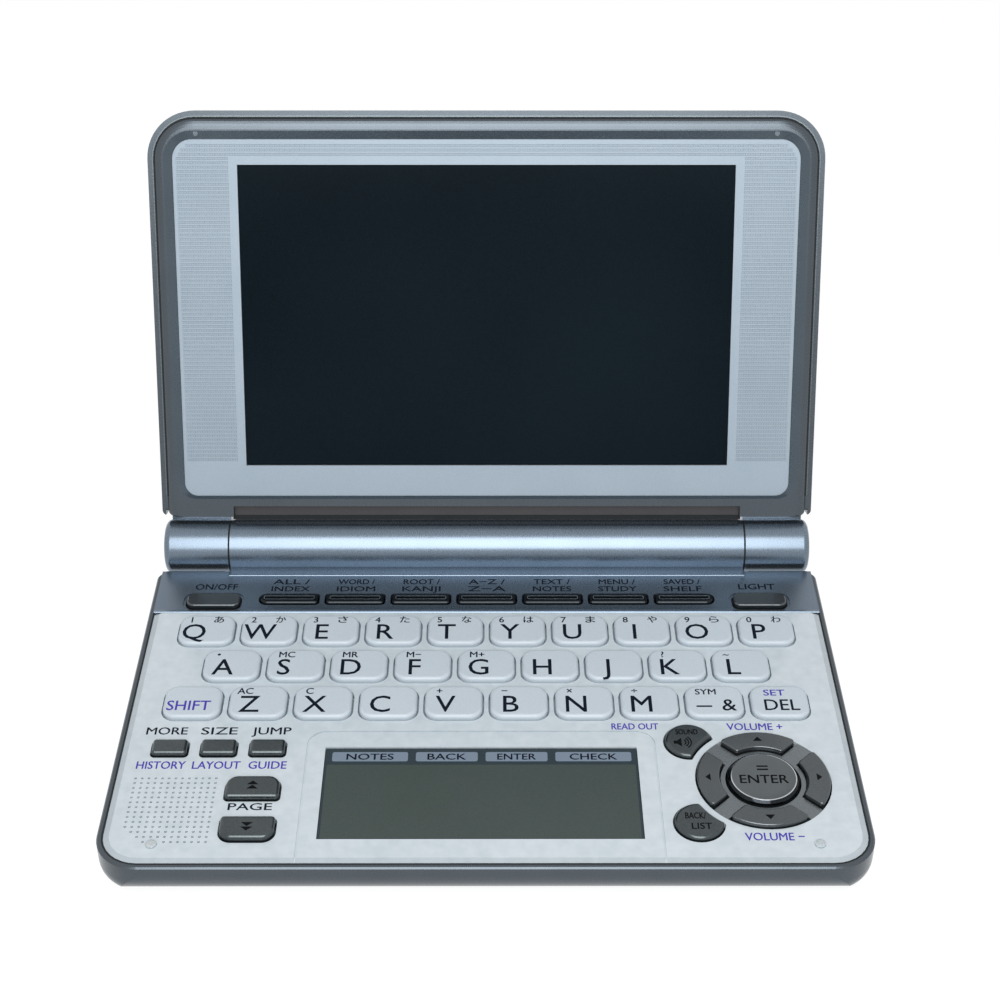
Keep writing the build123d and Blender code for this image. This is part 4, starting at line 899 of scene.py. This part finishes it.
class TrimSeams(bpy.types.Operator):
    """Lay dark seals and bright beads round the lid, the deck, the strip and the bars: the seals are
    painted shadow, and the bright lines on the bars and the lid's rim are painted highlight
    """
    bl_idname = "dictionary.trim_seams"
    bl_label = "Trim seams"

    def execute(self, context):
        # Dull near black laid in the seams between shells and over gaps at the hinge: painted shadow
        # where only shade would show.
        seal = shaded("painted_shadow_seal", "#1D2123", "#26292B", 4.0, 0.2, 0.003, 0.6, 0.05,
                      {"IOR": 1.45, "Specular IOR Level": 0.2})
        # Pale silver for a narrow bright line round each bar: painted highlight.
        bead = shaded("painted_highlight_bar_edge", "#A9B3BA", "#B9C2C8", 4.0, 0.2, 0.001, 0.22, 0.04,
                      {"Metallic": 0.95})
        # A lighter steel on the lid's rim bead, so that its edge shows as a thin bright line: painted
        # highlight on a real raised edge.
        rim = shaded("painted_highlight_rim_edge", "#5E666B", "#687075", 4.0, 0.2, 0.001, 0.26, 0.04,
                     {"Metallic": 0.9})
        lid = (LID_HALF, 12.0, LID_REACH, LID_CORNER)
        # Dark bands in the seams round the lid and the deck: painted shadow in the gaps between shells.
        self.band("lid_seam_shadow", "lid", [(arch_band(1.38, 0.4, *lid), -0.45, 0.4)], LID_PLACE, seal)
        self.band("lid_rim_bead", "lid", [(arch_band(0.98, 0.38, *lid), -0.45, -0.3)], LID_PLACE, rim)
        self.band("deck_seam_shadow", "base", [(self.deck_seam(), -0.6, -0.27)], self.upright(), seal)
        silver = material_named("silver_lacquered_abs")
        self.edge("strip_front_edge", -22.5, 0.0, 0.2, 1.1, 73.9, silver)
        self.edge("ledge_front_edge", -9.42, 0.3, 0.12, 0.5, 58.6, silver)
        self.bar_lines(bead)
        self.close_gaps(seal)
        return {"FINISHED"}

    def close_gaps(self, seal):
        """Hinge washers, blocks behind the base ends, a lining in the lid's notch and a lip seal over
        the barrel: dark fillers of gaps, painted shadow where only shade would show.
        """
        turned = Matrix.Rotation(math.radians(90), 4, "Y")
        axle = IN_MM @ Matrix.Translation((0, AXIS_Y, AXIS_Z))
        washers, seals = [], []
        # Dark washers at the barrel's ends and dark blocks behind the base's ends fill gaps: painted
        # shadow.
        for side in (-1, 1):
            ring = outline_mesh([circle(0, 0, 6.0), circle(0, 0, 2.15)], 0.3)
            washers.append((ring, Matrix.Translation((side * (BARREL_HALF + 0.2), 0, 0)) @ turned, 0))
            slab = outline_mesh([rounded(-6.7, 6.7, -7.38, -6.5, 0.2)], 4.4)
            seals.append((slab, Matrix.Translation((side * 66.6, 0, -4.5)), 0))
        piece("hinge_washers", join(washers, axle), "base", "rubber", seal)
        piece("rear_gap_shadows", join(seals, axle), "base", "rubber", seal)
        # Dark grey lining in the notch of the frame over the barrel: painted shade of the recess there.
        smoke = shaded("painted_shade_notch_lining", "#37373A", "#424041", 8.0, 0.2, 0.001, 0.4, 0.04,
                       {"Metallic": 0.5})
        liner = (outline_mesh([rounded(-58.0, 58.0, 7.4, 9.6, 0.2)], 0.08),
                 Matrix.Translation((0, 0, -0.25)), 0)
        piece("notch_shade_sheet", join([liner], LID_PLACE), "lid", "silver_paint", smoke)
        # Lip seal close over the barrel, so that no light comes through between barrel and lid; its near
        # black is painted shadow in that slot.
        lip = (outline_mesh([rounded(-58.5, 58.5, 6.32, 7.75, 0.1)], 0.9),
               Matrix.Translation((0, 0, -0.8)), 0)
        piece("barrel_lip_seal", join([lip], LID_PLACE), "lid", "rubber", seal)

    def upright(self):
        return IN_MM @ Matrix.Translation((0, AXIS_Y, DECK_TOP))

    def band(self, name, body, runs, place, material):
        """Raised bands, each (closed loop, lower level, upper level)."""
        parts = []
        for loop, low, high in runs:
            mesh = outline_mesh([loop], high - low, 0.05)
            parts.append((mesh, Matrix.Translation((0, 0, (low + high) / 2)), 0))
        piece(name, join(parts, place), body, "silver_paint", material)

    def deck_seam(self):
        """The seam down both sides and round the front of the deck, drawn as an arch turned over."""
        loop = arch_band(0.9, 0.4, DECK_HALF, 22.0, DECK_REACH, DECK_CORNER)
        return [(-x, -y) for x, y in loop]

    def edge(self, name, front, level, rise, run, half, material):
        """Slanted front edge, raised a little and running back into the surface behind it."""
        rows = [(front, level - 0.1), (front, level + 0.02), (front + rise, level + rise),
                (front + run, level), (front + run, level - 0.1)]
        verts = [(x, y, z) for x in (-half, half) for y, z in rows]
        count = len(rows)
        faces = [tuple(range(count)), tuple(reversed(range(count, 2 * count)))]
        faces += [(i, i + count, (i + 1) % count + count, (i + 1) % count) for i in range(count)]
        mesh = bpy.data.meshes.new(name)
        mesh.from_pydata(verts, [], faces)
        mesh.transform(self.upright())
        piece(name, mesh, "base", "silver_paint", material)

    def bar_lines(self, material):
        """Fine bright line round the flat top of each bar: a painted highlight."""
        top = box_mm("dictionary_key_comb")[1].z
        y = AXIS_Y - 17.6
        parts = []
        for i in range(7):
            x = (i - 3) * BAR_PITCH
            loops = [rounded(x - 5.65 + w, x + 5.65 - w, y - 0.62 + w, y + 0.62 - w, 0.3 - w)
                     for w in (0.0, 0.13)]
            parts.append(shapes(loops, top))
        piece("bar_lines", join(parts), "dictionary_key_comb", "gunmetal", material)


class CapBumpers(bpy.types.Operator):
    """Cap the two lid bumpers with translucent rubber domes"""
    bl_idname = "dictionary.cap_bumpers"
    bl_label = "Cap bumpers"

    def execute(self, context):
        # Clear silicone gone slightly grey: soft, milky and dull.
        rubber = shaded("milky_silicone", "#B4BCC0", "#C0C7CB", 3.0, 0.3, 0.004, 0.38, 0.05,
                        {"IOR": 1.41, "Subsurface Weight": 0.3, "Subsurface Scale": 0.0008})
        side, front = BUMPER_SPOT
        y = AXIS_Y - DECK_REACH + front
        profile = [(0.0, -0.02, 0), (1.1, -0.02, 0), (1.1, 0.22, 0), (1.03, 0.36, 0), (0.9, 0.45, 0),
                   (0.5, 0.5, 0), (0.0, 0.52, 0)]
        parts = []
        for x in (-side, side):
            parts.append((lathe(profile, 40), Matrix.Translation((x, y, DECK_TOP)), 0))
        piece("lid_bumper_caps", join(parts), "base", "rubber", rubber)
        return {"FINISHED"}


class GripBatteryDoor(bpy.types.Operator):
    """Mould a grip of ribs and an arrow on the battery door"""
    bl_idname = "dictionary.grip_battery_door"
    bl_label = "Grip battery door"

    def execute(self, context):
        parts = []
        for i in range(6):
            y = AXIS_Y - 8.6 + i * 1.1
            loop = rounded(-7.0, 7.0, y - 0.25, y + 0.25, 0.24, 4)
            parts.append((outline_mesh([loop], 0.3, 0.08), Matrix.Translation((0, 0, 0.42)), 0))
        arrow = triangle(11.0, AXIS_Y - 6.0, 1.7, 2.6, 0)
        parts.append((outline_mesh([arrow], 0.2, 0.03), Matrix.Translation((0, 0, 0.42)), 0))
        piece("battery_door_grip", join(parts), "battery_door", "silver_paint",
              material_named("silver_lacquered_abs"))
        return {"FINISHED"}


class CutScrewHeads(bpy.types.Operator):
    """Give the case screws turned heads with a cross recess"""
    bl_idname = "dictionary.cut_screw_heads"
    bl_label = "Cut screw heads"

    def execute(self, context):
        low, high = box_mm("screws")
        places = self.places()
        a, b = 0.21, 0.8
        cross = [(b, a), (a, a), (a, b), (-a, b), (-a, a), (-b, a), (-b, -a), (-a, -a), (-a, -b),
                 (a, -b), (a, -a), (b, -a)]
        parts = []
        for x, y in places:
            ring = [circle(0, 0, 1.4), cross]
            parts.append((outline_mesh(ring, 0.5), Matrix.Translation((x, y, low.z + 0.25)), 0))
            shank = lathe([(0.0, 0.4, 0), (1.4, 0.4, 0), (1.4, 0.9, 0), (0.8, 0.9, 0),
                           (0.8, high.z - low.z, 0), (0.0, high.z - low.z, 0)], 32)
            parts.append((shank, Matrix.Translation((x, y, low.z)), 0))
        made = piece("case_screws", join(parts), "base", "steel",
                     material_named("turned_stainless_steel"))
        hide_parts("screws")
        return {"FINISHED"}

    def places(self):
        """Middle of each screw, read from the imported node."""
        mesh = frame["nodes"]["screws"].data
        found = []
        for v in mesh.vertices:
            x, y = v.co.x / MM, v.co.y / MM
            for spot in found:
                if math.hypot(spot[0] / spot[2] - x, spot[1] / spot[2] - y) < 3:
                    spot[0] += x
                    spot[1] += y
                    spot[2] += 1
                    break
            else:
                found.append([x, y, 1])
        return [(sx / n, sy / n) for sx, sy, n in found]


# ---- stage
class SetStage(bpy.types.Operator):
    """Lay the pale floor, light the studio and place the camera"""
    bl_idname = "dictionary.set_stage"
    bl_label = "Set stage"

    def execute(self, context):
        stage = context.scene.dictionary_stage
        self.lay_floor(stage)
        self.light_world(context.scene, stage)
        self.hang_softbox(context.scene, stage)
        self.place_camera(context.scene, stage)
        context.scene.view_settings.view_transform = "Standard"
        return {"FINISHED"}

    def lay_floor(self, stage):
        """A wide disc whose colour is white to the eye and keeps the shadow."""
        mesh = lathe([(0.0, 0.0, 0), (3.0, 0.0, 0)], 96)
        mesh.transform(Matrix.Translation((0, 0, -0.00005)))
        floor = bpy.data.objects.new("studio_floor", mesh)
        bpy.context.scene.collection.objects.link(floor)
        material, tree, _ = new_material("matt_studio_paper")
        lit = add_node(tree, "ShaderNodeBsdfDiffuse", inputs={"Color": stage.floor})
        glow = add_node(tree, "ShaderNodeEmission",
                        inputs={"Color": (1, 1, 1, 1), "Strength": FLOOR_GLOW})
        part = add_node(tree, "ShaderNodeMath", {"operation": "MULTIPLY"}, {1: FLOOR_GLOW_SHARE},
                        {0: seen_directly(tree)})
        both = add_node(tree, "ShaderNodeMixShader",
                        links={0: part.outputs[0], 1: lit.outputs[0], 2: glow.outputs[0]})
        add_node(tree, "ShaderNodeOutputMaterial", links={"Surface": both.outputs[0]})
        mesh.materials.append(material)

    def light_world(self, scene, stage):
        """White to the eye and in reflections, softer as a light."""
        world = bpy.data.worlds.new("studio_world")
        world.use_nodes = True
        tree = world.node_tree
        tree.nodes.clear()
        strength = add_node(tree, "ShaderNodeMapRange",
                            inputs={"To Min": stage.ambient, "To Max": 1.0},
                            links={"Value": seen_directly(tree)})
        sky = add_node(tree, "ShaderNodeBackground", inputs={"Color": (1, 1, 1, 1)},
                       links={"Strength": strength.outputs[0]})
        add_node(tree, "ShaderNodeOutputWorld", links={"Surface": sky.outputs[0]})
        scene.world = world

    def hang_softbox(self, scene, stage):
        """A large softbox in front and above, which draws the bright line along the barrel."""
        lamp = bpy.data.lights.new("softbox", "AREA")
        lamp.shape = "RECTANGLE"
        lamp.size, lamp.size_y = SOFTBOX_SIZE
        lamp.energy = stage.softbox
        box = bpy.data.objects.new("softbox", lamp)
        box.location = SOFTBOX_PLACE
        box.rotation_euler = (Vector((0, 0, 0.02)) - box.location).to_track_quat("-Z", "Y").to_euler()
        scene.collection.objects.link(box)

    def place_camera(self, scene, stage):
        """The photograph's view: from above the user's side, looking 35 degrees down."""
        lens = bpy.data.cameras.new("camera")
        lens.sensor_width = 36
        lens.lens = stage.lens
        lens.shift_x = CAMERA_SHIFT
        lens.clip_start = 0.01
        camera = bpy.data.objects.new("camera", lens)
        place = Matrix.Translation(CAMERA_PLACE)
        for degrees, axis in CAMERA_TURNS:
            place = place @ Matrix.Rotation(math.radians(degrees), 4, axis)
        camera.matrix_world = place
        scene.collection.objects.link(camera)
        scene.camera = camera


# ---- panel and running
STEPS = (FinishShells, FinishKeys, FinishInside, MixInks, MarkLetterKeys, MarkDarkKeys,
         DressEnterKey, PrintDeck, LayBezelGrid, FitScreen, FitHandwritingWindow, TrimSeams,
         CapBumpers, GripBatteryDoor, CutScrewHeads, SetStage)


class DictionaryPanel(bpy.types.Panel):
    """Steps and settings of the electronic dictionary"""
    bl_idname = "VIEW3D_PT_dictionary"
    bl_label = "Electronic dictionary"
    bl_space_type = "VIEW_3D"
    bl_region_type = "UI"
    bl_category = "Dictionary"

    def draw(self, context):
        for step in STEPS:
            self.layout.operator(step.bl_idname)
        for name in SETTINGS:
            box = self.layout.box()
            group = getattr(context.scene, name)
            for setting in group.bl_rna.properties:
                if setting.identifier not in ("rna_type", "name"):
                    box.prop(group, setting.identifier)


def register():
    for name, group in SETTINGS.items():
        bpy.utils.register_class(group)
        setattr(bpy.types.Scene, name, PointerProperty(type=group))
    for step in STEPS:
        bpy.utils.register_class(step)
    bpy.utils.register_class(DictionaryPanel)


def unregister():
    bpy.utils.unregister_class(DictionaryPanel)
    for step in reversed(STEPS):
        bpy.utils.unregister_class(step)
    for name, group in SETTINGS.items():
        delattr(bpy.types.Scene, name)
        bpy.utils.unregister_class(group)


def main():
    register()
    for step in STEPS:
        group, name = step.bl_idname.split(".")
        getattr(getattr(bpy.ops, group), name)()


if __name__ == "__main__":
    main()
